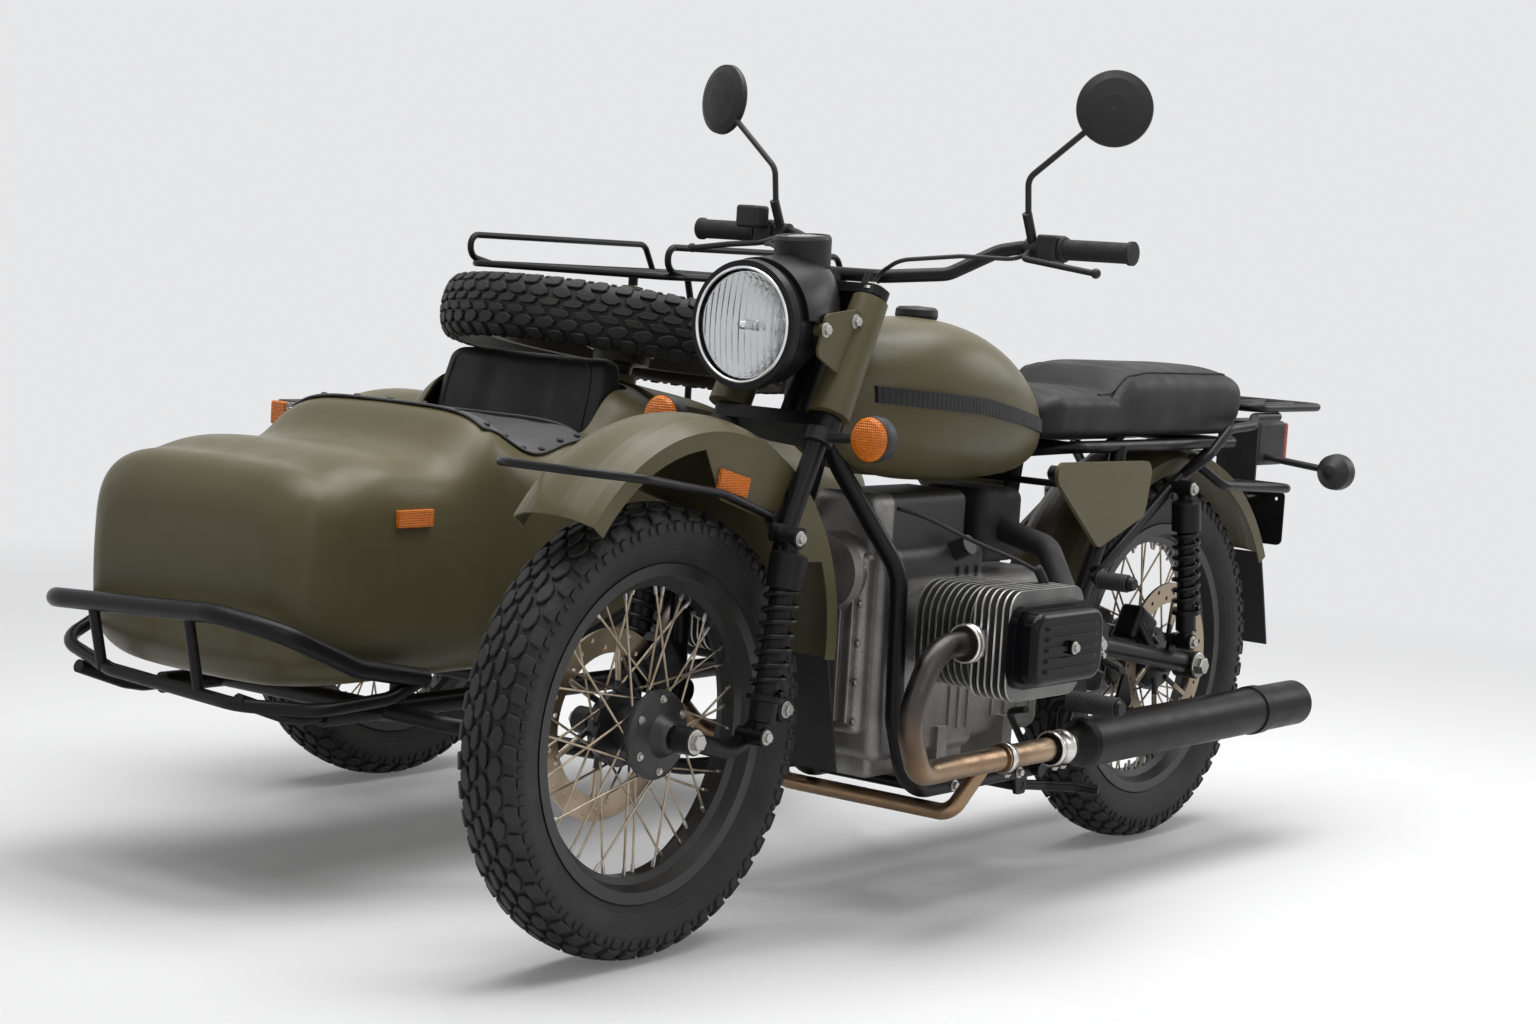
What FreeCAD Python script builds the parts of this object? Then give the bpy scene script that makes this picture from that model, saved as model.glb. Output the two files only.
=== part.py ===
import FreeCAD, Part
import math
import os
from FreeCAD import Vector as V

# Sidecar motorcycle, millimetres. Forward is -Y, up is +Z, the bike's left is +X and the
# sidecar stands on the bike's right. The shapes are drawn in bike places: x from the bike's
# midplane, y rearwards from the front axle, z up from the ground. place_all() moves them so
# that the origin is on the ground under the middle of the whole vehicle.

BIKE_X = 442.6            # bike midplane in the finished frame
BIKE_Y = -799.2           # front axle in the finished frame

# Wheels and tyres
WHEELBASE = 1470.0
TYRE_R = 345.0
TYRE_W = 112.0
TYRE_SIDES = 60
RIM_FLANGE_R = 256.0
RIM_W = 76.0
RIM_BED_R = 219.0
HUB_R = 30.0
HUB_FLANGE_R = 60.0
HUB_FLANGE_X = 31.0
HUB_HALF = 74.0
COVER_R = 68.0
SPOKES = 40
SPOKE_R = 1.9
SPOKE_LEAN = 52.0
DISC_R = 147.5
DISC_X = 62.0
DISC_T = 5.0
DISC_HOLES = 30
AXLE_R = 10.0
RUN = 0.06                # running clearance of a shaft in its hole
SEAT = 0.3                # gap where two pieces are seated on each other
SIDE_X = -1240.0          # sidecar wheel centre
SIDE_Y = 720.0

# Steering
RAKE = 27.0
STEER_Y = 340.0           # steering axis at the lower crown's height
STEER_Z = 800.0
HEAD_LOW = 15.0           # along the axis from the lower crown
HEAD_HIGH = 205.0
HEAD_R = 27.0
STEM_R = 17.0
LEG_X = 96.0
LEG_R = 16.0
PIVOT_Y = 205.0
PIVOT_Z = 376.0
LINK_X = 100.0
LINK_R = 15.0
SHOCK_X = 132.0
SHOCK_R = 29.0
SPRING_FOOT = 62.0        # from a damper's lower bolt to its spring
SPRING_HEAD = 78.0        # and from the spring to the upper bolt

# Engine
CYL_Y = 603.0
CYL_Z = 477.0
CASE_HALF = 88.0
FINS = 15
FIN_PITCH = 13.0
FIN_T = 3.2
FIN_X = 146.0
FIN_Y = 108.0
FIN_Z = 88.0
BARREL_R = 58.0
PIPE_R = 20.0
PIPE_X = 250.0
MUFFLER_X = 205.0
MUFFLER_Z = 262.0
MUFFLER_R = 43.0
MUFFLER_Y0 = 930.0
MUFFLER_Y1 = 1727.0

# Frame
TUBE_R = 15.0
CRADLE_X = 112.0
RAIL_Z = 205.0
PIVOT2_Y = 1099.0         # swing arm pivot
PIVOT2_Z = 412.0
ARM_X = 112.0
ARM_R = 18.0
SHOCK2_X = 138.0
SHOCK2_TOP = (1369.0, 682.0)
SHOCK2_LOW = (1410.0, 395.0)
EYE_HALF = 15.0           # half width of a damper's eye
PLATE_T = 7.0
HANGER_X = 160.0          # muffler hangers
RACK_Z = 826.0            # middle of the rear rack's loop
DOWN_TUBE = [(20.0, 438.0, 738.0), (112.0, 500.0, 570.0), (112.0, 512.0, 330.0)]
UPRIGHT = [(112.0, 1044.0, 300.0), (112.0, 1056.0, 480.0), (105.0, 1150.0, 640.0)]
STAND_Y = 930.0           # centre stand's pivot
STAND_Z = 172.0
STAND_R = 8.0
STAND_LEG = 184.0         # foot's distance behind the pivot when folded

# Sidecar body
BODY_X = -750.0           # body's own middle
BODY_HALF = 268.0
BODY_WALL = 6.0
NOSE_Y = -245.0
TAIL_Y = 1300.0
FLOOR_Z = 330.0
COCKPIT_Y0 = 215.0
COCKPIT_Y1 = 590.0
BOX_Z = 430.0             # top of the box under the sidecar's cushion
CUSHION_Z = 530.0
COCKPIT_HALF = 205.0
TRUNK_Y0 = 640.0
TRUNK_Y1 = 1215.0
TRUNK_HALF = 205.0

X = V(1, 0, 0)
Y = V(0, 1, 0)
Z = V(0, 0, 1)
nodes = {}


def add(name, *shapes):
    """Keeps the solids of one sub-part under its name."""
    nodes.setdefault(name, []).extend(shapes)


def fuse(*shapes):
    """One solid from pieces that run into each other."""
    first = shapes[0]
    return first.multiFuse(list(shapes[1:])) if len(shapes) > 1 else first


def mirrored(shape):
    """The same piece on the bike's other side."""
    return shape.mirror(V(0, 0, 0), X)


def corner_path(points, bend, closed=False):
    """Straight runs with tangent arcs at the corners, as one wire."""
    pts = [V(*p) for p in points]
    count = len(pts)
    starts, ends, arcs = {}, {}, {}
    inner = range(count) if closed else range(1, count - 1)
    for i in inner:
        before, here, after = pts[i - 1], pts[i], pts[(i + 1) % count]
        a, b = (before - here), (after - here)
        turn = math.pi - a.getAngle(b)
        reach = min(bend * math.tan(turn / 2), 0.47 * a.Length, 0.47 * b.Length)
        a.normalize()
        b.normalize()
        p, q = here + a * reach, here + b * reach
        middle = (a + b)
        if middle.Length < 1e-6 or turn < 1e-3:
            starts[i], ends[i] = here, here
            continue
        middle.normalize()
        radius = reach / math.tan(turn / 2)
        depth = radius / math.cos(turn / 2) - radius
        starts[i], ends[i] = p, q
        arcs[i] = Part.Arc(p, here + middle * depth, q).toShape()
    edges = []
    spans = range(count) if closed else range(count - 1)
    for i in spans:
        j = (i + 1) % count
        p, q = ends.get(i, pts[i]), starts.get(j, pts[j])
        if (q - p).Length > 1e-3:
            edges.append(Part.LineSegment(p, q).toShape())
        if j in arcs:
            edges.append(arcs[j])
    return Part.Wire(edges)


def tube(points, radius, bend=60.0):
    """A bent round bar along the points."""
    path = corner_path(points, bend)
    start = V(*points[0])
    way = V(*points[1]) - start
    ring = Part.Wire(Part.makeCircle(radius, start, way))
    return path.makePipeShell([ring], True, False)


def ring_tube(points, radius, bend=30.0):
    """A bent round bar that closes on itself."""
    path = corner_path(points, bend, True)
    start = path.OrderedVertexes[0].Point
    ring = Part.Wire(Part.makeCircle(radius, start, V(*points[1]) - V(*points[0])))
    return path.makePipeShell([ring], True, False)


def bar(p, q, radius):
    """A straight round bar between two points."""
    a, b = V(*p), V(*q)
    return Part.makeCylinder(radius, (b - a).Length, a, b - a)


def turned(profile, origin, axis):
    """A turned solid: profile points are (along the axis, radius)."""
    ring = [V(r, 0, a) for a, r in profile]
    face = Part.Face(Part.makePolygon(ring + [ring[0]]))
    solid = face.revolve(V(0, 0, 0), Z, 360)
    solid.Placement = FreeCAD.Placement(V(*origin), FreeCAD.Rotation(Z, V(*axis)))
    return solid


def outline(points, radius, thick, lift):
    """A plate: a rounded closed outline pushed out by the vector lift of length thick."""
    face = Part.Face(corner_path(points, radius, True))
    way = V(*lift)
    way.normalize()
    return face.extrude(way * thick)


def block(x0, x1, y0, y1, z0, z1, radius=0.0):
    """A box between two corners, its upright edges rounded."""
    shape = Part.makeBox(x1 - x0, y1 - y0, z1 - z0, V(x0, y0, z0))
    if radius:
        edges = [e for e in shape.Edges if abs(e.tangentAt(0).z) > 0.9]
        shape = shape.makeFillet(radius, edges)
    return shape


def softened(shape, radius):
    """Every edge rounded by one radius."""
    return shape.makeFillet(radius, shape.Edges)


def steer_point(along, out=0.0, x=0.0):
    """A place on the steering axis: along it, and out in front of it."""
    a = math.radians(RAKE)
    return (x, STEER_Y + along * math.sin(a) - out * math.cos(a),
            STEER_Z + along * math.cos(a) + out * math.sin(a))


STEER_AXIS = (0, math.sin(math.radians(RAKE)), math.cos(math.radians(RAKE)))


# Wheels

def tyre_profile():
    """Half outline of the tyre, (across, radius), from the bead to the middle of the tread."""
    half = TYRE_W / 2
    return [(RIM_W / 2 - 6.4, RIM_FLANGE_R - 13.4), (RIM_W / 2 - 4.4, RIM_FLANGE_R + 0.5),
            (half * 0.80, RIM_FLANGE_R + 10), (half * 0.97, RIM_FLANGE_R + 28),
            (half, RIM_FLANGE_R + 48), (half * 0.90, TYRE_R - 19),
            (half * 0.62, TYRE_R - 6.5), (half * 0.3, TYRE_R - 1.5)]


def tyre():
    """A tyre about the X axis, made of flats so that its mesh stays small."""
    right = tyre_profile()
    loop = [(-x, r) for x, r in right] + [(x, r) for x, r in reversed(right)]
    grow = 1 / math.cos(math.pi / TYRE_SIDES)
    rings = []
    for k in range(TYRE_SIDES):
        a = 2 * math.pi * (k + 0.5) / TYRE_SIDES
        rings.append([V(x, r * grow * math.cos(a), r * grow * math.sin(a)) for x, r in loop])
    faces = []
    for k in range(TYRE_SIDES):
        here, there = rings[k], rings[(k + 1) % TYRE_SIDES]
        for i in range(len(loop)):
            j = (i + 1) % len(loop)
            faces.append(Part.Face(Part.makePolygon([here[i], here[j], there[j], there[i], here[i]])))
    return Part.makeSolid(Part.makeShell(faces))


def rim():
    """The rolled rim: flanges, bead seats and the well where the spokes end."""
    w = RIM_W / 2
    outer = [(-w, RIM_FLANGE_R), (-w + 4, RIM_FLANGE_R), (-w + 6, RIM_FLANGE_R - 14),
             (-14, RIM_FLANGE_R - 20), (-10, RIM_BED_R + 7), (10, RIM_BED_R + 7),
             (14, RIM_FLANGE_R - 20), (w - 6, RIM_FLANGE_R - 14), (w - 4, RIM_FLANGE_R),
             (w, RIM_FLANGE_R), (w - 1, RIM_FLANGE_R - 18), (18, RIM_BED_R + 11),
             (12, RIM_BED_R), (-12, RIM_BED_R), (-18, RIM_BED_R + 11), (-w + 1, RIM_FLANGE_R - 18)]
    return turned(outer, (0, 0, 0), (1, 0, 0))


def hub():
    """The hub with its two spoke flanges and the bolted conical cover."""
    f = HUB_FLANGE_X
    bore = AXLE_R + RUN
    return turned([(-HUB_HALF, bore), (-HUB_HALF, 22), (-f - 26, 24), (-f - 22, 52), (-f - 5, 54),
                   (-f - 4, HUB_FLANGE_R), (-f + 4, HUB_FLANGE_R), (-f + 5, HUB_R + 4),
                   (f - 5, HUB_R + 4), (f - 4, HUB_FLANGE_R), (f + 4, HUB_FLANGE_R),
                   (f + 5, COVER_R), (f + 11, COVER_R), (f + 16, COVER_R - 8), (f + 22, 34),
                   (f + 38, 25), (HUB_HALF, 20), (HUB_HALF, bore)], (0, 0, 0), (1, 0, 0))


def spokes():
    """Crossed steel spokes from the hub flanges to the well of the rim."""
    wires = []
    for k in range(SPOKES):
        side = 1 if k % 2 else -1
        lean = 1 if (k // 2) % 2 else -1
        at_rim = 2 * math.pi * (k + 0.5) / SPOKES
        at_hub = at_rim + lean * math.radians(SPOKE_LEAN)
        hub_x = side * (HUB_FLANGE_X + lean * 3.6)
        r_hub, r_rim = HUB_FLANGE_R - 6, RIM_BED_R + 2
        wires.append(bar((hub_x, r_hub * math.cos(at_hub), r_hub * math.sin(at_hub)),
                         (side * 6, r_rim * math.cos(at_rim), r_rim * math.sin(at_rim)), SPOKE_R))
    return wires


def brake_disc(side):
    """A brake disc on its carrier beside the hub."""
    x0 = side * DISC_X - DISC_T / 2
    disc = Part.makeCylinder(DISC_R, DISC_T, V(x0, 0, 0), X)
    disc = disc.cut(Part.makeCylinder(DISC_R - 38, DISC_T, V(x0, 0, 0), X))
    holes = []
    for k in range(DISC_HOLES):
        a = 2 * math.pi * k / DISC_HOLES
        r = DISC_R - (10, 19, 28)[k % 3]
        holes.append(Part.makeCylinder(4, DISC_T, V(x0, r * math.cos(a), r * math.sin(a)), X))
    disc = disc.cut(Part.makeCompound(holes))
    arms = []
    for k in range(6):
        a = 2 * math.pi * k / 6
        reach = DISC_R - 30
        arms.append(bar((side * (HUB_FLANGE_X + 24), 40 * math.cos(a), 40 * math.sin(a)),
                        (side * DISC_X, reach * math.cos(a + 0.35), reach * math.sin(a + 0.35)), 5.0))
    return fuse(disc, *arms)


WHEEL_CORE = fuse(rim(), hub(), *spokes())
TYRE_SOLID = tyre()


def wheel_at(tyre_node, wheel_node, centre, disc_side):
    """One tyre and one wire wheel; disc_side is the side of its brake disc, or 0."""
    shape = WHEEL_CORE.copy()
    if disc_side:
        if disc_side > 0:
            shape = shape.mirror(V(0, 0, 0), X)
            shape = fuse(shape, brake_disc(1))
        else:
            shape = fuse(shape, brake_disc(-1))
    rubber = TYRE_SOLID.copy()
    shape.translate(V(*centre))
    rubber.translate(V(*centre))
    add(tyre_node, rubber)
    add(wheel_node, shape)


def coil(foot, way, start, end, radius, wire, turns):
    """The wire of a coil spring about the line from foot along way, between two heights on it."""
    helix = Part.makeHelix((end - start) / turns, end - start, radius)
    ring = Part.Wire(Part.makeCircle(wire, V(radius, 0, 0), V(0, 1, 0)))
    spring = Part.Wire(helix).makePipeShell([ring], True, True)
    turn = FreeCAD.Rotation(Z, way)
    spring.Placement = FreeCAD.Placement(foot + turn.multVec(V(0, 0, start)), turn)
    return spring


def shock(node, x, low, top, radius, wire, turns, mirror=True):
    """A damper between two bolts, (y, z) each: lower tube, cups, upper can and the coil spring round it."""
    a, b = V(x, low[0], low[1]), V(x, top[0], top[1])
    length = (b - a).Length
    cup, can = SPRING_FOOT, length - SPRING_HEAD
    profile = [(0, 0), (0, 13), (20, 13), (23, radius - 8), (cup - 10, radius - 8), (cup - 8, radius),
               (cup, radius), (cup, radius - 2 * wire - 2), (can, radius - 2 * wire - 2), (can, radius),
               (length - 26, radius), (length - 20, 13), (length, 13), (length, 0)]
    body = turned(profile, tuple(a), tuple(b - a))
    eyes = [bar((x - EYE_HALF, p[0], p[1]), (x + EYE_HALF, p[0], p[1]), 15) for p in (low, top)]
    one = fuse(body, *eyes)
    rise = wire + SEAT
    spring = coil(a, b - a, cup + rise, can - rise, radius - wire, wire, turns)
    add(node, one, spring)
    if mirror:
        add(node, mirrored(one), mirrored(spring))


def brake_caliper(x, axle, angle, size):
    """A caliper that straddles the disc at one angle round its axle."""
    y, z = axle
    body = softened(block(x - 24, x + 24, y + DISC_R - 46, y + DISC_R + 26, z - size / 2, z + size / 2), 9)
    slot = Part.makeCylinder(DISC_R + 6, 16, V(x - 8, y, z), X)
    body = body.cut(slot)
    body.rotate(V(0, y, z), X, angle)
    return body


# Fork and front end

def crown_plate(along, thick, grow):
    """A fork crown across both legs, its waist behind the steering stem."""
    wide = LEG_X + 24 + grow
    points = [steer_point(along, 30, -wide), steer_point(along, -20 - grow, -50),
              steer_point(along, -29 - grow, 0),
              steer_point(along, -20 - grow, 50), steer_point(along, 30, wide),
              steer_point(along, 64 + grow, wide - 4), steer_point(along, 64 + grow, 4 - wide)]
    return outline(points, 17, thick, STEER_AXIS)


def fork():
    """Crowns, stem, legs, leading links, axle and the caliper on the right leg."""
    stem = bar(steer_point(-8), steer_point(HEAD_HIGH + 20), STEM_R)
    crown_low = crown_plate(-24, 22, 0)
    crown_high = crown_plate(HEAD_HIGH + 4, 16, 0)
    pieces = [stem, crown_low, crown_high]
    for side in (1, -1):
        top = steer_point(HEAD_HIGH + 14, 46, side * LEG_X)
        knee = steer_point(-205, 46, side * LEG_X)
        pieces.append(tube([top, knee, (side * LEG_X, PIVOT_Y, PIVOT_Z)], LEG_R, 160))
        pieces.append(bar((side * (LEG_X - 22), PIVOT_Y, PIVOT_Z),
                          (side * (LINK_X + 24), PIVOT_Y, PIVOT_Z), 20))
        pieces.append(tube([(side * LINK_X, PIVOT_Y, PIVOT_Z), (side * LINK_X, 105, 318),
                            (side * LINK_X, 0, TYRE_R)], LINK_R, 70))
        pieces.append(bar((side * (LINK_X - 17), 0, TYRE_R), (side * (LINK_X + 14), 0, TYRE_R), 21))
        lug = outline([(side * (LEG_X + 6), y, z) for y, z in
                       ((164, 664), (164, 636), (206, 640), (240, 614), (252, 650))], 7, 5, (side, 0, 0))
        pieces.append(lug)
        pieces.append(bar((side * (LEG_X - 4), 182, 642), (side * (SHOCK_X - EYE_HALF - SEAT), 182, 642), 9))
        reach = side * (SHOCK_X - EYE_HALF - SEAT)
        pieces.append(bar((side * (LINK_X - 6), 129, 344), (reach, 129, 344), 11))
    pieces.append(bar((-LINK_X - 14, 0, TYRE_R), (LINK_X + 14, 0, TYRE_R), AXLE_R))
    for side in (1, -1):
        pieces.append(bar((side * (78 + SEAT), 237, 700), (side * LEG_X, 237, 700), 9))
    foot = block(-LEG_X - 4, -DISC_X - 18, 118, PIVOT_Y + 4, 424, 452)
    pieces += [brake_caliper(-DISC_X, (0, TYRE_R), 38, 72), foot]
    add("fork", fuse(*pieces))


def fork_covers():
    """Olive sleeves round the upper legs, each with its lamp ear, and the lower lamp bracket."""
    for side in (1, -1):
        low = steer_point(2, 46, side * (LEG_X + 2))
        high = steer_point(HEAD_HIGH - 2, 46, side * (LEG_X + 2))
        a, b = V(*low), V(*high)
        sleeve = Part.makeCone(34, 29, (b - a).Length, a, b - a)
        bore = bar(steer_point(-10, 46, side * LEG_X), steer_point(HEAD_HIGH + 20, 46, side * LEG_X),
                   LEG_R + SEAT)
        ear = outline([steer_point(60, 66, side * (LEG_X + 10)), steer_point(60, 140, side * (LEG_X + 10)),
                       steer_point(125, 150, side * (LEG_X + 10)), steer_point(180, 66, side * (LEG_X + 10))],
                      14, 5, (side, 0, 0))
        boss = bar((side * (LEG_X + 12), 262, 955), (side * 70, 262, 955), 10)
        add("fork_covers", fuse(sleeve, ear, boss.cut(bucket_room())).cut(bore))


def fender_shell(centre_y, centre_z, radius, half, start, end, thick=2.5, drop=26.0, crown=22.0):
    """A rolled fender: a crowned section with turned-down sides, swung about its own centre."""
    steps = 10
    outer = []
    for k in range(steps + 1):
        t = -1 + 2 * k / steps
        outer.append((half * t, radius - crown * abs(t) ** 2.4))
    outer = [(-half, radius - crown - drop)] + outer + [(half, radius - crown - drop)]
    inner = [(x * (1 - thick / half), r - thick if abs(x) < half else r) for x, r in outer]
    inner[0] = (-half + thick, outer[0][1])
    inner[-1] = (half - thick, outer[-1][1])
    inner[1] = (-half + thick, outer[1][1] - thick)
    inner[-2] = (half - thick, outer[-2][1] - thick)
    ring = [V(x, r, 0) for x, r in outer + inner[::-1]]
    face = Part.Face(Part.makePolygon(ring + [ring[0]]))
    shape = face.revolve(V(0, 0, 0), X, end - start)
    shape.rotate(V(0, 0, 0), X, start)
    shape.translate(V(0, centre_y, centre_z))
    return shape


FRONT_FENDER = (54.0, 467.0, 355.0)       # centre y, centre z, radius
REAR_FENDER = (WHEELBASE, 345.0, 410.0)
SIDE_FENDER = (SIDE_Y, 345.0, 412.0)


def front_fender():
    """The front fender with its side gussets and the stay to the lower crown."""
    cy, cz, r = FRONT_FENDER
    shell = fender_shell(cy, cz, r, 78, -6, 143)
    pieces = [shell]
    for side in (1, -1):
        a0, a1, depth = 22, 96, 96
        steps = 10
        top = [(cy + (r - 28) * math.cos(math.radians(a0 + (a1 - a0) * k / steps)),
                cz + (r - 28) * math.sin(math.radians(a0 + (a1 - a0) * k / steps))) for k in range(steps + 1)]
        low = [(cy + (r - 28 - depth) * math.cos(math.radians(a)),
                cz + (r - 28 - depth) * math.sin(math.radians(a))) for a in (86, 60, 34)]
        ring = [V(side * 76, y, z) for y, z in top + low]
        face = Part.Face(Part.makePolygon(ring + [ring[0]]))
        pieces.append(face.extrude(V(side * 2.0, 0, 0)))
    add("front_fender", fuse(*pieces))


def front_guard():
    """The tube hoop round the front fender, bolted to its gussets."""
    hoop = tube([(86, 190, 668), (92, 60, 708), (118, -150, 738), (96, -248, 748), (-96, -248, 748),
                 (-118, -150, 738), (-92, 60, 708), (-86, 190, 668)], 6.5, 60)
    ends = [bar((side * 78.3, 192, 668), (side * 92, 192, 668), 9) for side in (1, -1)]
    add("fender_guard", fuse(hoop, *ends))


def mud_flap(node, points, half, thick):
    """A hanging rubber flap: side outline points (y, z) of its front face, bent to shape."""
    ring = [V(-half, y, z) for y, z in points] + [V(-half, y + thick, z) for y, z in reversed(points)]
    face = Part.Face(Part.makePolygon(ring + [ring[0]]))
    add(node, face.extrude(V(2 * half, 0, 0)))


LAMP = (0, 196, 955)
BUCKET = [(0, 99), (14, 101), (22, 98), (60, 93), (100, 76), (126, 48), (134, 0)]


def bucket_room():
    """The lamp bucket with its seating gap, to be cut from what meets it."""
    return turned([(0, 0)] + [(a, r + SEAT) for a, r in BUCKET[:-1]] + [(135, 0)], LAMP, (0, 1, 0))


def head_lamp():
    """Bucket with its rim, the glass and the cowl with the instrument pod behind it."""
    c = LAMP
    add("headlamp_bucket", turned(BUCKET + [(20, 0), (20, 84), (0, 88)], c, (0, 1, 0)))
    glass = turned([(-9, 0), (-8, 30), (-4.5, 62), (4, 84), (19.7, 84 - SEAT), (19.7, 0)], c, (0, 1, 0))
    add("headlamp_glass", glass)
    hood = Part.makeLoft([Part.Wire(Part.makeCircle(r, V(0, y, z), V(0, 1, lean)))
                          for y, z, r, lean in ((228, 955, 104.5, 0), (290, 966, 99, 0.1),
                                                (340, 994, 76, 0.3), (374, 1024, 44, 0.5))], True, False)
    hood = hood.cut(block(-120, 120, 200, 420, 800, 968))
    tilt = (0, -0.10, 1)
    pod = [(0, 0), (0, 40), (10, 44), (52, 46), (56, 44), (56, 40), (53, 40), (53, 0)]
    room = [(a - SEAT, r + SEAT if r else 0) for a, r in pod[:4]] + [(70, 46 + SEAT), (70, 0)]
    seat_at = (0, 341, 1040)
    hood = fuse(hood).cut(bucket_room()).cut(turned(room, seat_at, tilt))
    hood = hood.cut(crown_plate(HEAD_HIGH + 4 - SEAT, 16 + 2 * SEAT, SEAT))
    for side in (1, -1):
        leg = [steer_point(out, 46, side * (LEG_X + 2)) for out in (0, HEAD_HIGH + 8)]
        hood = hood.cut(bar(*leg, 35))
    add("headlamp_cowl", hood)
    pod = turned(pod, seat_at, tilt)
    add("instrument_pod", pod)


BAR_Z = 1100.0
BAR_Y = 615.0


def handlebar():
    """The high bar with its clamps on the upper crown."""
    half = [(0, 483, 1040), (50, 483, 1040), (140, 540, 1050), (196, 598, BAR_Z - 8), (230, BAR_Y, BAR_Z),
            (432, BAR_Y, BAR_Z)]
    points = [(-x, y, z) for x, y, z in reversed(half[1:])] + half[1:]
    pipe = tube(points, 11, 45)
    risers = [bar(steer_point(HEAD_HIGH + 20 + SEAT, -18.5, side * 34),
                  steer_point(HEAD_HIGH + 74, -18.5, side * 34), 14) for side in (1, -1)]
    add("handlebar", fuse(pipe, *risers))
    for side in (1, -1):
        grip = turned([(0, 11 + SEAT), (0, 20), (5, 20), (8, 16.5), (118, 16.5), (122, 19), (128, 19),
                       (128, 11 + SEAT)], (side * 304, BAR_Y, BAR_Z), (side, 0, 0))
        add("grips", grip)


MIRROR_X = 252.0


def mirror_foot(side, up):
    """A place above the mirror's boss, along its axis."""
    lean = 0.5
    k = 1 / math.hypot(1, lean)
    return (side * MIRROR_X, BAR_Y - 4 - (38 + up) * lean * k, BAR_Z + (38 + up) * k)


def hand_controls():
    """Clutch and brake levers in their perches, switch pods and the brake reservoir."""
    for side in (1, -1):
        hole = bar((side * 200, BAR_Y, BAR_Z), (side * 330, BAR_Y, BAR_Z), 11 + SEAT)
        pod = softened(block(min(side * 266, side * 302), max(side * 266, side * 302), BAR_Y - 22,
                             BAR_Y + 18, BAR_Z - 22, BAR_Z + 22), 5)
        perch = bar((side * 240, BAR_Y, BAR_Z), (side * 264, BAR_Y, BAR_Z), 17)
        arm = tube([(side * 250, BAR_Y - 14, BAR_Z - 6), (side * 262, BAR_Y - 48, BAR_Z - 18),
                    (side * 320, BAR_Y - 62, BAR_Z - 24), (side * 400, BAR_Y - 58, BAR_Z - 34)], 5, 20)
        ball = Part.makeSphere(8, V(side * 402, BAR_Y - 58, BAR_Z - 34))
        boss = bar((side * MIRROR_X, BAR_Y - 4, BAR_Z), mirror_foot(side, 0), 8)
        joint = bar((side * 262, BAR_Y, BAR_Z), (side * 268, BAR_Y, BAR_Z), 15)
        cable = tube([(side * 250, BAR_Y - 8, BAR_Z - 8), (side * 248, BAR_Y - 55, BAR_Z - 20),
                      (side * 190, 500, BAR_Z - 20), (side * 110, 446, BAR_Z - 32),
                      steer_point(HEAD_HIGH + 62, 10, side * 64),
                      steer_point(HEAD_HIGH + 20 + SEAT, 10, side * 64)], 3.5, 40)
        group = [pod, perch, arm, ball, boss, joint, cable]
        if side < 0:
            tank = softened(block(-310, -266, BAR_Y - 62, BAR_Y - 22, BAR_Z + 6, BAR_Z + 44), 6)
            group.append(tank)
        add("hand_controls", fuse(*group).cut(hole))


def mirrors():
    """Round mirrors on bent stems."""
    for side, turn in ((1, 30.0), (-1, 16.0)):
        bend = (side * MIRROR_X, BAR_Y - 34, BAR_Z + 108)
        disc = V(side * 388, BAR_Y - 14, BAR_Z + 222)
        face = V(side * math.sin(math.radians(turn)), -math.cos(math.radians(turn)), 0.06)
        face.normalize()
        stem = tube([mirror_foot(side, 10), bend, tuple(disc + face * 10)], 5, 26)
        head = turned([(-8, 0), (-8, 58), (-5, 60), (3, 59), (9, 46), (14, 20), (15, 0)],
                      tuple(disc), tuple(face))
        nut = bar(mirror_foot(side, SEAT), mirror_foot(side, 22), 8)
        add("mirrors", fuse(stem, head, nut))


def front_signals():
    """Round signal lamps on short stems clamped to the legs."""
    for side in (1, -1):
        low, high, foot, head = [steer_point(out, 46, side * LEG_X) for out in (-46, -24 - SEAT, -60, 0)]
        clamp = bar(low, high, LEG_R + 7).cut(bar(foot, head, LEG_R + SEAT))
        z = 796
        stem = bar((side * (LEG_X + 19), 284, 790), (side * 190, 284, z), 8)
        place = (side * 205, 262, z)
        back = turned([(0, 0), (0, 35), (8, 36), (26, 34), (44, 14), (48, 0)], place, (0, 1, 0))
        add("front_signals", fuse(clamp, stem, back))
        lens = turned([(-14, 0), (-13, 16), (-8, 29), (-SEAT, 34), (-SEAT, 0)], place, (0, 1, 0))
        add("front_orange_lenses", lens)


# Engine

def rounded_section(x, half_y, half_z, radius, thick):
    """A rounded plate across the X axis about the cylinder's middle."""
    y0, y1, z0, z1 = CYL_Y - half_y, CYL_Y + half_y, CYL_Z - half_z, CYL_Z + half_z
    return outline([(x, y0, z0), (x, y1, z0), (x, y1, z1), (x, y0, z1)], radius, abs(thick),
                   (math.copysign(1, thick), 0, 0))


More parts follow.
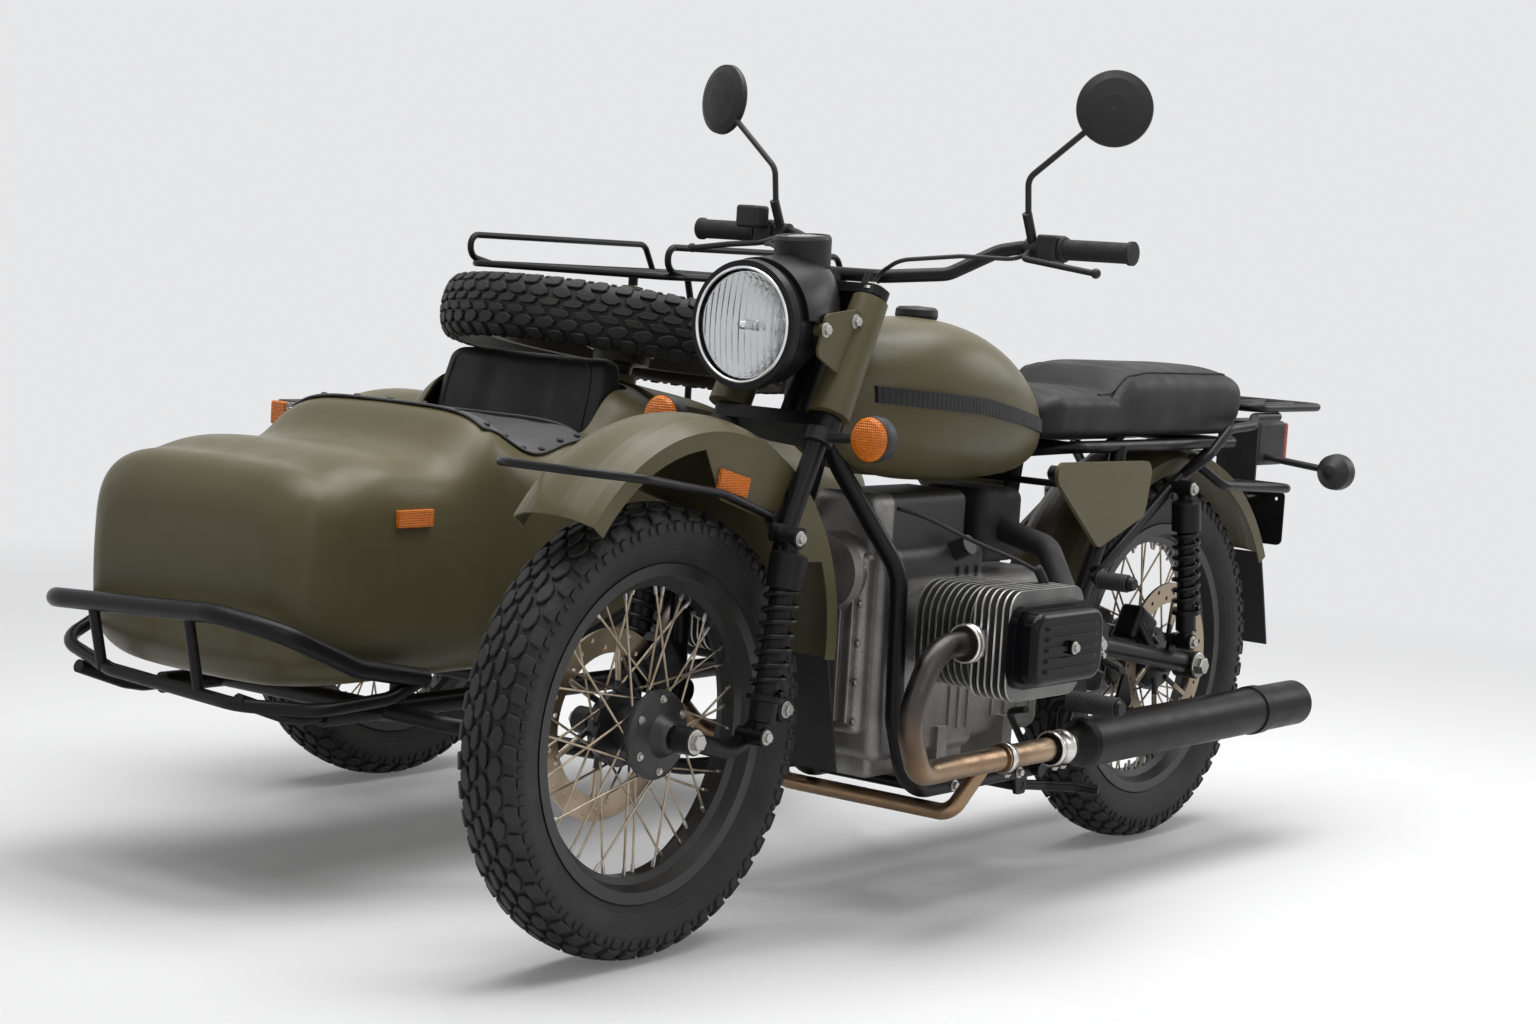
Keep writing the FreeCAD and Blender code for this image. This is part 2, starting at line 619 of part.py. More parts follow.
def engine():
    """Crankcase with its sump and gearbox, as one closed mass with mounting bosses."""
    case = softened(block(-CASE_HALF, CASE_HALF, 495, 792, 252, 604), 22)
    front = softened(block(-68, 68, 470, 560, 300, 596), 14)
    crest = softened(block(-66, 66, 492, 760, 560, 690), 18)
    sump = softened(block(-74, 74, 500, 782, 226, 300), 12)
    nose = turned([(0, 0), (0, 60), (14, 66), (40, 66), (40, 0)], (0, 452, 560), (0, 1, 0))
    box = softened(block(-80, 80, 770, 1012, 262, 548), 26)
    flanges = [bar((side * 60, CYL_Y, CYL_Z), (side * (FIN_X - 6), CYL_Y, CYL_Z), 64) for side in (1, -1)]
    reach = CRADLE_X - TUBE_R - SEAT
    feet = [block(-reach, reach, y - 14, y + 14, RAIL_Z - 12, 300) for y in (680, 880)]
    ribs = [softened(block(x - 4, x + 4, 463, 500, 318, 578), 3) for x in (-48, -24, 24, 48)]
    out = CASE_HALF + 5
    ribs += [softened(block(-out, out, y - 4, y + 4, 290, 566), 3) for y in (706, 734, 762)]
    ribs += [softened(block(-85, 85, y - 4, y + 4, 300, 510), 3) for y in (850, 890, 930, 970)]
    filler = bar((78, 700, 590), (112, 700, 606), 17)
    add("engine_case", fuse(case, front, crest, sump, nose, box, filler, *flanges, *feet, *ribs))


def cylinders():
    """Finned barrels and heads: one plate for every fin on a common barrel."""
    fins = []
    for k in range(FINS):
        grow = 0 if k < FINS - 6 else 4
        fins.append(rounded_section(FIN_X + k * FIN_PITCH, FIN_Y - 8 + 2 * grow, FIN_Z - 4 + grow,
                                    56 - 6 * grow, FIN_T))
    end = FIN_X + (FINS - 1) * FIN_PITCH + FIN_T
    barrel = bar((FIN_X - 6 + SEAT, CYL_Y, CYL_Z), (end, CYL_Y, CYL_Z), BARREL_R)
    head_x = FIN_X + (FINS - 6) * FIN_PITCH + 1
    head = rounded_section(head_x, FIN_Y - 26, FIN_Z - 22, 26, end - 1 - head_x)
    spigot = bar((HEAD_PORT_X, CYL_Y - 60, CYL_Z), (HEAD_PORT_X, CYL_Y - FIN_Y - 4, CYL_Z), PIPE_R + 7)
    intake = bar((HEAD_PORT_X, CYL_Y + 60, CYL_Z + 22), (HEAD_PORT_X, CYL_Y + FIN_Y + 6, CYL_Z + 22), 24)
    one = fuse(barrel, head, spigot, intake, *fins)
    add("cylinders", one, mirrored(one))


HEAD_PORT_X = 263.5


def valve_covers():
    """Rounded covers over the heads with raised ribs and a middle bolt boss."""
    x0 = FIN_X + (FINS - 1) * FIN_PITCH + FIN_T + SEAT
    base = rounded_section(x0, FIN_Y + 6, FIN_Z - 22, 34, 14)
    dome = rounded_section(x0 + 12, FIN_Y - 4, FIN_Z - 30, 30, 34)
    dome = dome.makeFillet(11, [e for e in dome.Edges if e.BoundBox.XMin > x0 + 45])
    shape = ((20, 14 - FIN_Y), (50, 34 - FIN_Y), (50, FIN_Y - 34), (20, FIN_Y - 14))
    ribs = [outline([(x0 + x, CYL_Y + y, CYL_Z + z - 3) for x, y in shape], 8, 6, (0, 0, 1))
            for z in (-34, -17, 0, 17, 34)]
    boss = bar((x0 + 30, CYL_Y, CYL_Z), (x0 + 54, CYL_Y, CYL_Z), 11)
    one = fuse(base, dome, boss, *ribs)
    add("valve_covers", one, mirrored(one))


def intake():
    """Air box behind the crankcase with an elbow to each head."""
    box = softened(block(-70, 70, 800, 930, 562, 690), 22)
    pieces = [box]
    for side in (1, -1):
        pieces.append(tube([(side * 60, 865, 622), (side * 170, 850, 600), (side * 238, 815, 520),
                            (side * HEAD_PORT_X, 762, CYL_Z + 22),
                            (side * HEAD_PORT_X, CYL_Y + FIN_Y + 6 + SEAT, CYL_Z + 22)], 21, 45))
        pieces.append(bar((side * HEAD_PORT_X, CYL_Y + FIN_Y + 6 + SEAT, CYL_Z + 22),
                          (side * HEAD_PORT_X, CYL_Y + FIN_Y + 30, CYL_Z + 22), 23))
    foot = bar((0, 865, 548 + SEAT), (0, 865, 580), 24)
    add("intake_system", fuse(*pieces, foot))


BALANCE_Z = 176.0


def exhaust():
    """Header pipes with their nuts, the cross pipe and the mufflers."""
    front = CYL_Y - FIN_Y - 4 - SEAT
    pieces = []
    for side in (1, -1):
        pieces.append(tube([(side * HEAD_PORT_X, front, CYL_Z), (side * HEAD_PORT_X, 392, CYL_Z),
                            (side * 252, 345, 365), (side * 222, 430, MUFFLER_Z + 4),
                            (side * MUFFLER_X, 560, MUFFLER_Z),
                            (side * MUFFLER_X, MUFFLER_Y0 - 40, MUFFLER_Z)], PIPE_R, 78))
        pieces.append(bar((side * HEAD_PORT_X, front, CYL_Z), (side * HEAD_PORT_X, front - 22, CYL_Z), 27))
        pieces.append(bar((side * MUFFLER_X, 690, MUFFLER_Z), (side * MUFFLER_X, 716, MUFFLER_Z),
                          PIPE_R + 4))
    half = [(0, 600, BALANCE_Z), (MUFFLER_X - 30, 600, BALANCE_Z), (MUFFLER_X, 650, MUFFLER_Z)]
    pieces.append(tube([(-x, y, z) for x, y, z in reversed(half[1:])] + half[1:], 14, 30))
    add("exhaust_headers", fuse(*pieces))
    for side in (1, -1):
        start = (side * MUFFLER_X, MUFFLER_Y0 - 90, MUFFLER_Z)
        length = MUFFLER_Y1 - MUFFLER_Y0 + 90
        bore = PIPE_R + SEAT
        can = turned([(0, bore), (0, PIPE_R + 5), (60, PIPE_R + 6), (96, MUFFLER_R - 3), (110, MUFFLER_R),
                      (length - 180, MUFFLER_R), (length - 178, MUFFLER_R + 3), (length - 150, MUFFLER_R + 3),
                      (length - 148, MUFFLER_R), (length, MUFFLER_R), (length, MUFFLER_R - 3),
                      (length - 60, MUFFLER_R - 3), (length - 60, 0), (60, 0), (60, bore)],
                     start, (0, 1, 0))
        hanger = outline([(side * 160, 1120, 300), (side * 160, 1180, 300), (side * 160, 1150, 372)], 8, 6,
                         (side, 0, 0))
        add("mufflers", fuse(can, hanger, bar((side * 160, 1150, 296), (side * 190, 1150, 290), 9)))


# Tank, seat and panels

TANK = [(400, 60, 770, 884), (440, 96, 740, 926), (540, 141, 714, 966), (660, 157, 706, 974),
        (780, 150, 706, 942), (870, 122, 712, 888), (935, 84, 732, 836)]


def superellipse(power, count):
    """Places on a unit superellipse."""
    places = []
    for k in range(count):
        a = 2 * math.pi * (k + 0.5) / count
        c, s = math.cos(a), math.sin(a)
        places.append((math.copysign(abs(c) ** (2 / power), c), math.copysign(abs(s) ** (2 / power), s)))
    return places


def oval(y, half, low, high, power=2.5, x=0.0, count=20):
    """A rounded section across the Y axis; equal knots in all of them keep a loft light."""
    middle, tall = (low + high) / 2, (high - low) / 2
    unit = superellipse(power, count)
    knots = [0.0]
    for (a, b), (c, d) in zip(unit, unit[1:] + unit[:1]):
        knots.append(knots[-1] + math.hypot(c - a, d - b))
    curve = Part.BSplineCurve()
    curve.interpolate(Points=[V(x + half * a, y, middle + tall * b) for a, b in unit], PeriodicFlag=True,
                      Parameters=[k / knots[-1] for k in knots])
    return Part.Wire(curve.toShape())


def tank_shape(grow=0.0):
    """The tank's outside, or the same a little larger."""
    return Part.makeLoft([oval(y + math.copysign(grow, y - 660) * 0.5, half + grow, low - grow, high + grow)
                          for y, half, low, high in TANK], True, False)


def fuel_tank():
    """Teardrop tank with the tunnel for the backbone, its rubbers and its cap."""
    side = ((350, 600), (350, 1000), (438, 1000), (452, 925), (960, 800), (1000, 600), (350, 600))
    face = Part.Face(Part.makePolygon([V(-36, y, z) for y, z in side]))
    tunnel = face.extrude(V(72, 0, 0))
    add("fuel_tank", tank_shape().cut(tunnel))
    band = Part.Face(Part.makePolygon([V(-200, y, z) for y, z in
                                       ((432, 842), (650, 826), (878, 790), (878, 812), (650, 852),
                                         (432, 868),
                                        (432, 842))])).extrude(V(400, 0, 0))
    ring = tank_shape(5.0).cut(tank_shape(SEAT)).common(band)
    add("tank_rubbers", *ring.Solids)
    cap = turned([(0, 0), (0, 34), (6, 36), (16, 35), (20, 30), (22, 0)], (0, 662, 972), (0, 0, 1))
    add("fuel_cap", cap.cut(tank_shape(SEAT)))


SEAT_Z = 772.0


def dual_seat():
    """Plain solid of the stepped seat for rider and passenger."""
    rider = softened(block(-128, 128, 893, 1240, SEAT_Z, 866), 26)
    rear = softened(block(-136, 136, 1090, 1585, SEAT_Z, 906), 30)
    add("dual_seat", fuse(rider, rear).cut(tank_shape(1.5)))


def side_covers():
    """Triangular panels under the seat."""
    for side in (1, -1):
        x = side * 148
        panel = outline([(x, 850, 742), (x, 1212, 738), (x, 1192, 640), (x, 1040, 588)], 22, 8, (side, 0, 0))
        add("side_covers", panel)


# Frame

def main_frame():
    """Headstock, backbone, twin cradle, seat rails, rear loop and rack stays."""
    head_low, head_high = steer_point(HEAD_LOW), steer_point(HEAD_HIGH)
    pieces = [bar(head_low, head_high, HEAD_R)]
    pieces.append(tube([(0, 412, 905), (0, 470, 884), (0, 840, 748), (0, 985, 738)], 20, 120))
    rail = SEAT_Z - 11 - SEAT
    for side in (1, -1):
        cradle = [(12, 390, 846), *DOWN_TUBE, (CRADLE_X, 560, RAIL_Z), (CRADLE_X, 1000, RAIL_Z), *UPRIGHT,
                  (105, 1172, rail)]
        pieces.append(tube([(side * x, y, z) for x, y, z in cradle], TUBE_R, 90))
        pieces.append(tube([(side * 6, 975, 746), (side * 100, 1010, rail), (side * 105, 1100, rail),
                            (side * 105, 1588, rail)], 11, 60))
        brace = [(105, 1540, rail), (105, 1369, 682), (110, 1074, 508)]
        pieces.append(tube([(side * x, y, z) for x, y, z in brace], 11, 80))
        pieces.append(bar((side * 105, SHOCK2_TOP[0], SHOCK2_TOP[1]),
                          (side * (SHOCK2_X - EYE_HALF - SEAT), SHOCK2_TOP[0], SHOCK2_TOP[1]), 12))
        plate_x = ARM_X + ARM_R + 1 + SEAT
        corners = ((1036, 380), (1126, 376), (1128, 446), (1044, 474))
        pieces.append(outline([(side * plate_x, y, z) for y, z in corners], 12, PLATE_T, (side, 0, 0)))
        for y, z in ((1050, 396), (1055, 456)):
            pieces.append(bar((side * CRADLE_X, y, z), (side * (plate_x + 3), y, z), 8))
        stay = [(106, 1405, 700), (146, 1425, 738), (147, 1500, 790), (147, 1592, 796),
                (122, 1640, RACK_Z - 8 - SEAT - 9), (120, 1740, RACK_Z - 8 - SEAT - 9)]
        pieces.append(tube([(side * x, y, z) for x, y, z in stay], 9, 30))
        for y, z in ((900, 705), (1142, 700)):
            pieces.append(bar((side * 60 if y < 1000 else side * 105, y, z), (side * (148 - SEAT), y, z), 6))
        link = bar((side * 164, 1156, 360), (side * (plate_x + 3), 1108, 388), 7)
        pieces.append(link.cut(block(-180, SEAT - HANGER_X, 1100, 1200, 300, 400))
                      .cut(block(HANGER_X - SEAT, 180, 1100, 1200, 300, 400)))
        corners = ((-22, RAIL_Z - 4), (22, RAIL_Z - 4), (14, STAND_Z - 15), (-14, STAND_Z - 15))
        lug = outline([(side * 94, STAND_Y + y, z) for y, z in corners], 6, 7, (side, 0, 0))
        pieces.append(lug)
    pieces.append(tube([(105, 1452, 726), (142, 1500, 684), (136, 1800, 668), (-136, 1800, 668),
                        (-142, 1500, 684), (-105, 1452, 726)], 9, 45))
    for y in (1030, 1582):
        pieces.append(bar((-105, y, rail), (105, y, rail), 9))
    pieces.append(bar((-60, 900, 705), (60, 900, 705), 6))
    pieces.append(bar((0, 900, 705), (0, 900, 744), 8))
    pieces.append(bar((-CRADLE_X, 975, RAIL_Z), (CRADLE_X, 975, RAIL_Z), 11))
    pieces.append(bar((-CRADLE_X, 620, RAIL_Z), (CRADLE_X, 620, RAIL_Z), 9))
    frame = fuse(*pieces)
    frame = frame.cut(bar(steer_point(-30), steer_point(HEAD_HIGH + 30), STEM_R + RUN))
    frame = frame.cut(bar((-101, STAND_Y, STAND_Z), (101, STAND_Y, STAND_Z), STAND_R + RUN))
    add("main_frame", frame)


def rear_fender():
    """Rear fender with its two fixings, the flap and the brackets behind it."""
    cy, cz, r = REAR_FENDER
    shell = fender_shell(cy, cz, r, 80, 28, 158)
    pins = [bar((side * 78, 1480, 732), (side * (105 - 11 - SEAT), 1480, 732), 7) for side in (1, -1)]
    add("rear_fender", fuse(shell, *pins))
    a = math.radians(27.9)
    top = (cy + (r - 8) * math.cos(a), cz + (r - 8) * math.sin(a))
    mud_flap("rear_mud_flap", [top, (top[0] + 24, 450), (top[0] + 52, 345)], 62, 5)


def rear_lamps():
    """Tail lamp, rear signals and the plate bracket behind the loop."""
    board = block(-44, 44, 1809 + SEAT, 1815, 652, 790)
    house = softened(block(-46, 46, 1806 + 6, 1925, 704, 792), 9)
    stems = [bar((side * 30, 1850, 722), (side * 186, 1845, 708), 7) for side in (1, -1)]
    bowl = [(0, 0), (4, 14), (22, 34), (40, 36), (48, 35), (48, 0)]
    backs = [turned(bowl, (side * 200, 1812, 706), (0, 1, 0))
             for side in (1, -1)]
    add("tail_lamp", fuse(board, house.cut(block(-60, 60, 1700, 1809 + SEAT, 600, 900)), *stems, *backs))
    add("tail_lens", softened(block(-43, 43, 1925 + SEAT, 1942, 708, 788), 5))
    for side in (1, -1):
        add("orange_lenses", turned([(48 + SEAT, 0), (48 + SEAT, 34), (56, 29), (61, 16), (62, 0)],
                                    (side * 200, 1812, 706), (0, 1, 0)))
    plate = outline([(-88, 1858, 548), (88, 1858, 548), (88, 1858, 656), (-88, 1858, 656)], 12, 3, (0, 1, 0))
    for x in PLATE_HOLES:
        plate = plate.cut(bar((x, 1850, PLATE_HOLE_Z), (x, 1870, PLATE_HOLE_Z), PLATE_HOLE_R))
    arms = [tube([(x, 1800, 658.7), (x, 1800, 640), (x, 1858, 640)], 5, 8) for x in (-30, 30)]
    add("plate_bracket", fuse(plate, *arms))


PLATE_HOLES = (-70.0, 70.0)
PLATE_HOLE_Z = 640.0
PLATE_HOLE_R = 3.5


def rear_rack():
    """Tubular rack behind the seat."""
    z = RACK_Z
    loop = ring_tube([(-122, 1655, z), (122, 1655, z), (122, 1918, z), (-122, 1918, z)], 8, 26)
    bars = [bar((x, 1655, z), (x, 1918, z), 6) for x in (-62, 0, 62)]
    bars += [bar((-122, 1790, z), (122, 1790, z), 6)]
    add("rear_rack", fuse(loop, *bars))


def swing_arm():
    """Swing arm with shaft housing, final drive, rear axle, shock lugs and the rear caliper."""
    pieces = [bar((-ARM_X - 19, PIVOT2_Y, PIVOT2_Z), (ARM_X + 19, PIVOT2_Y, PIVOT2_Z), 20)]
    for side in (1, -1):
        pieces.append(bar((side * ARM_X, PIVOT2_Y, PIVOT2_Z), (side * ARM_X, WHEELBASE, TYRE_R), ARM_R))
        corners = ((1382, 352), (1446, 346), (1426, 408), (1396, 408))
        pieces.append(outline([(side * (ARM_X - 4), y, z) for y, z in corners], 8, 8, (side, 0, 0)))
        pieces.append(bar((side * ARM_X, SHOCK2_LOW[0], SHOCK2_LOW[1]),
                          (side * (SHOCK2_X - EYE_HALF - SEAT), SHOCK2_LOW[0], SHOCK2_LOW[1]), 10))
    pieces.append(bar((ARM_X - 20, WHEELBASE, TYRE_R), (ARM_X + 22, WHEELBASE, TYRE_R), 26))
    drive = turned([(0, 0), (0, 60), (6, 80), (18, 84), (27, 62), (28, 32), (44, 28), (46, 0)],
                   (-HUB_HALF - 6, WHEELBASE, TYRE_R), (-1, 0, 0))
    pieces.append(drive)
    pieces.append(bar((-HUB_HALF - 20, WHEELBASE, TYRE_R), (ARM_X + 34, WHEELBASE, TYRE_R), AXLE_R))
    pieces.append(brake_caliper(DISC_X, (WHEELBASE, TYRE_R), 150, 70))
    a = math.radians(150)
    at = (WHEELBASE + (DISC_R + 8) * math.cos(a), TYRE_R + (DISC_R + 8) * math.sin(a))
    pieces.append(bar((DISC_X + 18, at[0], at[1]), (ARM_X, at[0] - 6, at[1] - 40), 10))
    add("swing_arm", fuse(*pieces))


def foot_controls():
    """Rider and passenger pegs, gear lever and brake pedal."""
    for side in (1, -1):
        arm = tube([(side * (CRADLE_X + 6), 935, RAIL_Z), (side * 150, 935, 250),
                    (side * 152, 935, 322), (side * 185, 935, 334)], 9, 20)
        barrel = [(0, 0), (0, 12), (6, 15), (104, 15), (110, 12), (110, 0)]
        peg = turned(barrel, (side * 178, 935, 334), (side, 0, 0))
        pad = bar((side * (CRADLE_X + 6), 935, RAIL_Z), (side * 138, 935, RAIL_Z), 12)
        lever = tube([(side * 150, 935, 262), (side * 158, 860, 236), (side * 172, 760, 330),
                      (side * 214, 748, 340)], 6, 25)
        rail = bar((side * CRADLE_X, 700, RAIL_Z), (side * CRADLE_X, 980, RAIL_Z), TUBE_R + SEAT)
        add("foot_controls", fuse(arm, peg, pad, lever).cut(rail))
        foot, head = [(side * x, y, z) for x, y, z in UPRIGHT[1:]]
        bracket = tube([(side * 109, 1092, 540), (side * 144, 1080, 548), (side * 156, 1030, 537),
                        (side * 170, 1025, 536)], 8, 20).cut(bar(foot, head, TUBE_R + SEAT))
        rest = turned([(0, 0), (0, 11), (70, 13), (78, 10), (78, 0)], (side * 165, 1025, 536), (side, 0, 0))
        add("foot_controls", fuse(bracket, rest))


def centre_stand():
    """The folded centre stand below the frame, on its pivot between the frame's lugs."""
    pivot = bar((-100, STAND_Y, STAND_Z), (100, STAND_Y, STAND_Z), STAND_R)
    sleeve = bar((-88, STAND_Y, STAND_Z), (88, STAND_Y, STAND_Z), STAND_R + 3)
    legs = [tube([(side * 84, STAND_Y, STAND_Z), (side * 88, STAND_Y + 90, STAND_Z - 12),
                  (side * 112, STAND_Y + STAND_LEG - 16, STAND_Z - 20),
                  (side * 148, STAND_Y + STAND_LEG, STAND_Z - 22)], 9, 30) for side in (1, -1)]
    tie = bar((-86, STAND_Y + 72, STAND_Z - 10), (86, STAND_Y + 72, STAND_Z - 10), 7)
    add("centre_stand", fuse(pivot, sleeve, tie, *legs))


# Sidecar

DECK = [(NOSE_Y, 668), (-190, 690), (-60, 708), (200, 733), (400, 744), (462, 754), (505, 798), (548, 830),
        (600, 824), (850, 776), (1180, 708), (TAIL_Y, 689)]
KEEL = [(NOSE_Y, 352), (-190, 340), (-60, FLOOR_Z), (1100, FLOOR_Z), (1200, 336), (TAIL_Y, 350)]
BEAM = [(NOSE_Y, 246), (-190, 258), (-60, BODY_HALF), (700, BODY_HALF), (1180, 258), (TAIL_Y, 246)]
END_ROUND = 58.0          # radius of the body's nose and tail edges
STATIONS = [0, 1.2, 5, 12, 24, 40, END_ROUND]


def along(table, y):
    """A value from a table of (y, value), eased through its places without overshoot."""
    y = min(max(y, table[0][0]), table[-1][0])
    slopes = []
    rise = [(q[1] - p[1]) / (q[0] - p[0]) for p, q in zip(table, table[1:])]
    for k in range(len(table)):
        if k in (0, len(table) - 1) or rise[k - 1] * rise[k] <= 0:
            slopes.append(0 if 0 < k < len(table) - 1 else rise[min(k, len(rise) - 1)])
        else:
            slopes.append(2 / (1 / rise[k - 1] + 1 / rise[k]))
    for k, ((y0, v0), (y1, v1)) in enumerate(zip(table, table[1:])):
        if y <= y1:
            h = y1 - y0
            t = (y - y0) / h
            return (v0 * (1 + 2 * t) * (1 - t) ** 2 + slopes[k] * h * t * (1 - t) ** 2
                    + v1 * t * t * (3 - 2 * t) + slopes[k + 1] * h * t * t * (t - 1))


def hull(grow):
    """The body's rounded outside, or the same larger by grow all round."""
    if grow in hulls:
        return hulls[grow]
    nose, tail, edge = NOSE_Y - grow, TAIL_Y + grow, END_ROUND + grow
    steps = [d * edge / END_ROUND for d in STATIONS]
    places = [nose + d for d in steps] + [y for y in HULL_PLACES] + [tail - d for d in reversed(steps)]
    rings = []
    for y in places:
        d = edge - min(y - nose, tail - y, edge)
        inset = edge - math.sqrt(max(edge * edge - d * d, 0)) - grow
        rings.append(oval(y, along(BEAM, y) - inset, along(KEEL, y) + inset, along(DECK, y) - inset,
                          4.6, BODY_X, 28))
    hulls[grow] = Part.makeLoft(rings, True, False)
    return hulls[grow]


hulls = {}
HINGE_Z = along(DECK, TRUNK_Y1 + 34) + 12
HULL_PLACES = [-120, -20, 120, 280, 400, 440, 470, 500, 530, 565, 620, 720, 860, 1000, 1120, 1190]


def sidecar_body():
    """Hollow body shell with its cockpit and trunk, the bulkhead and the seat box."""
    shell = hull(0).cut(hull(-BODY_WALL))
    inside = hull(-BODY_WALL / 2)
    bulkhead = block(BODY_X - 300, BODY_X + 300, COCKPIT_Y1, COCKPIT_Y1 + 6, 300, 900).common(inside)
    box = block(BODY_X - 190, BODY_X + 190, 300, 520, FLOOR_Z - 4, BOX_Z).common(inside)
    cockpit = block(BODY_X - COCKPIT_HALF, BODY_X + COCKPIT_HALF, COCKPIT_Y0, COCKPIT_Y1, 640, 960, 26)
    trunk = block(BODY_X - TRUNK_HALF, BODY_X + TRUNK_HALF, TRUNK_Y0, TRUNK_Y1, 640, 960, 30)
    ends = []
    for x in HINGE_X:
        for side in (1, -1):
            x0, x1 = sorted((x + side * 16.2, x + side * 32))
            foot = block(x0, x1, HINGE_Y - 4, HINGE_Y + 20, HINGE_Z - 30, HINGE_Z - 1)
            ends.append(fuse(hinge_bar(x0, x1, HINGE_R), foot).cut(hull(-BODY_WALL / 2)))
        ends.append(hinge_bar(x - 33, x + 33, HINGE_PIN))
    add("sidecar_body", fuse(shell.cut(cockpit).cut(trunk), bulkhead, box, *ends))


def cover_piece(gap, thick, x0, x1, y0, y1, corner):
    """A panel that follows the body's outside over one stretch of it."""
    stretch = block(x0, x1, y0, y1, 600, 990, corner)
    return stretch.common(hull(gap + thick)).cut(hull(gap))


def soft_sidecar():
    """Plain solids of the sidecar's cushion, backrest and tonneau cover."""
    cushion = softened(block(BODY_X - 186, BODY_X + 186, 296, 500, BOX_Z + SEAT, CUSHION_Z), 22)
    add("sidecar_cushion", cushion)
    back, low = COCKPIT_Y1 - SEAT, CUSHION_Z + SEAT
    corners = ((432, low), (530, low), (back, 700), (back, 860), (522, 860), (478, 700), (432, low))
    side = Part.Face(Part.makePolygon([V(BODY_X - 196, y, z) for y, z in corners]))
    rest = side.extrude(V(392, 0, 0))
    add("sidecar_backrest", rest.makeFillet(18, [e for e in rest.Edges if e.BoundBox.ZMin > 690]))
    cover = cover_piece(SEAT, 5, BODY_X - 228, BODY_X + 228, 190, 444, 24)
    add("tonneau_cover", cover)


def trunk_lid():
    """Lid over the trunk with the hinge at its tail edge and the carrier of the spare wheel."""
    lid = cover_piece(SEAT, 6, BODY_X - 226, BODY_X + 226, TRUNK_Y0 - 18, TRUNK_Y1 + 17, 30)
    axis = V(0, math.sin(math.radians(SPARE_TILT)), math.cos(math.radians(SPARE_TILT)))
    centre = V(*SPARE)
    foot = centre - axis * (HUB_HALF + 60)
    top = HUB_HALF + 16
    post = bar(tuple(foot), tuple(centre + axis * (top - 2)), AXLE_R)
    ring = bar(tuple(foot), tuple(centre - axis * (HUB_HALF + SEAT)), 34)
    nut = bar(tuple(centre + axis * (HUB_HALF + SEAT)), tuple(centre + axis * top), 20)
    knuckles = [fuse(hinge_bar(x - 16, x + 16, HINGE_R),
                     block(x - 16, x + 16, HINGE_Y - 22, HINGE_Y, HINGE_Z - HINGE_R, HINGE_Z - 1))
                 for x in HINGE_X]
    bores = [hinge_bar(x - 40, x + 40, HINGE_PIN + RUN) for x in HINGE_X]
    leaf = fuse(*knuckles).cut(hull(SEAT)).cut(fuse(*bores))
    add("trunk_lid", fuse(lid, post.cut(hull(2)), ring.cut(hull(2)), nut, *leaf.Solids))


HINGE_X = (BODY_X - 130, BODY_X + 130)
HINGE_Y = TRUNK_Y1 + 34
HINGE_R = 7.0
HINGE_PIN = 3.0


def hinge_bar(x0, x1, radius):
    """A piece of the lid's hinge about its axis."""
    return bar((x0, HINGE_Y, HINGE_Z), (x1, HINGE_Y, HINGE_Z), radius)


SPARE = (BODY_X + 10, 790.0, 897.0)
SPARE_TILT = 9.0


def spare():
    """The spare wheel lying on its carrier."""
    lean = math.radians(SPARE_TILT)
    turn = FreeCAD.Rotation(X, V(0, math.sin(lean), math.cos(lean)))
    for node, shape in (("spare_tyre", TYRE_SOLID.copy()), ("spare_wheel", WHEEL_CORE.copy())):
        shape.Placement = FreeCAD.Placement(V(*SPARE), turn)
        add(node, shape)


def luggage_rack():
    """Tube rack above the spare wheel, on two legs behind it."""
    x0, x1, y0, y1, z = BODY_X - 225, BODY_X + 250, 610, 1180, 1012
    base = ring_tube([(x0, y0, z), (x1, y0, z), (x1, y1, z), (x0, y1, z)], 6, 30)
    bars = [bar((x, y0, z), (x, y1, z), 5) for x in (x0 + 120, x0 + 356)]
    bars.append(bar((x0, SPARE[1] + 14, z), (x1, SPARE[1] + 14, z), 5))
    loops = [tube([(x, y0 + 60, z), (x, y0 + 2, z + 12), (x, y0 + 2, z + 52), (x, y1 - 70, z + 52),
                   (x, y1 - 40, z)], 6, 24) for x in (x0, x1)]
    legs = [tube([(x, 1206, 620), (x, 1206, 860), (x, 1196, 960), (x, y1, z)], 7, 40).cut(hull(6 + 2 * SEAT))
            for x in (BODY_X - 170, BODY_X + 170)]
    lean = math.radians(SPARE_TILT)
    foot_y, foot_z = SPARE[1] + (HUB_HALF + 16) * math.sin(lean), SPARE[2] + (HUB_HALF + 16) * math.cos(lean)
    pad = bar((SPARE[0], foot_y, foot_z + 20 * math.sin(lean) - 1), (SPARE[0], foot_y, z), 9)
    add("luggage_rack", fuse(base, *bars, *loops, *legs, pad))


SIDE_RAILS = (-560, -940)
SIDE_SHOCK_X = -1095.0
SIDE_SHOCK_Z = 358.0      # its lower bolt
SIDE_RAIL_Z = 292.0
SIDE_RAIL_Y = -110.0


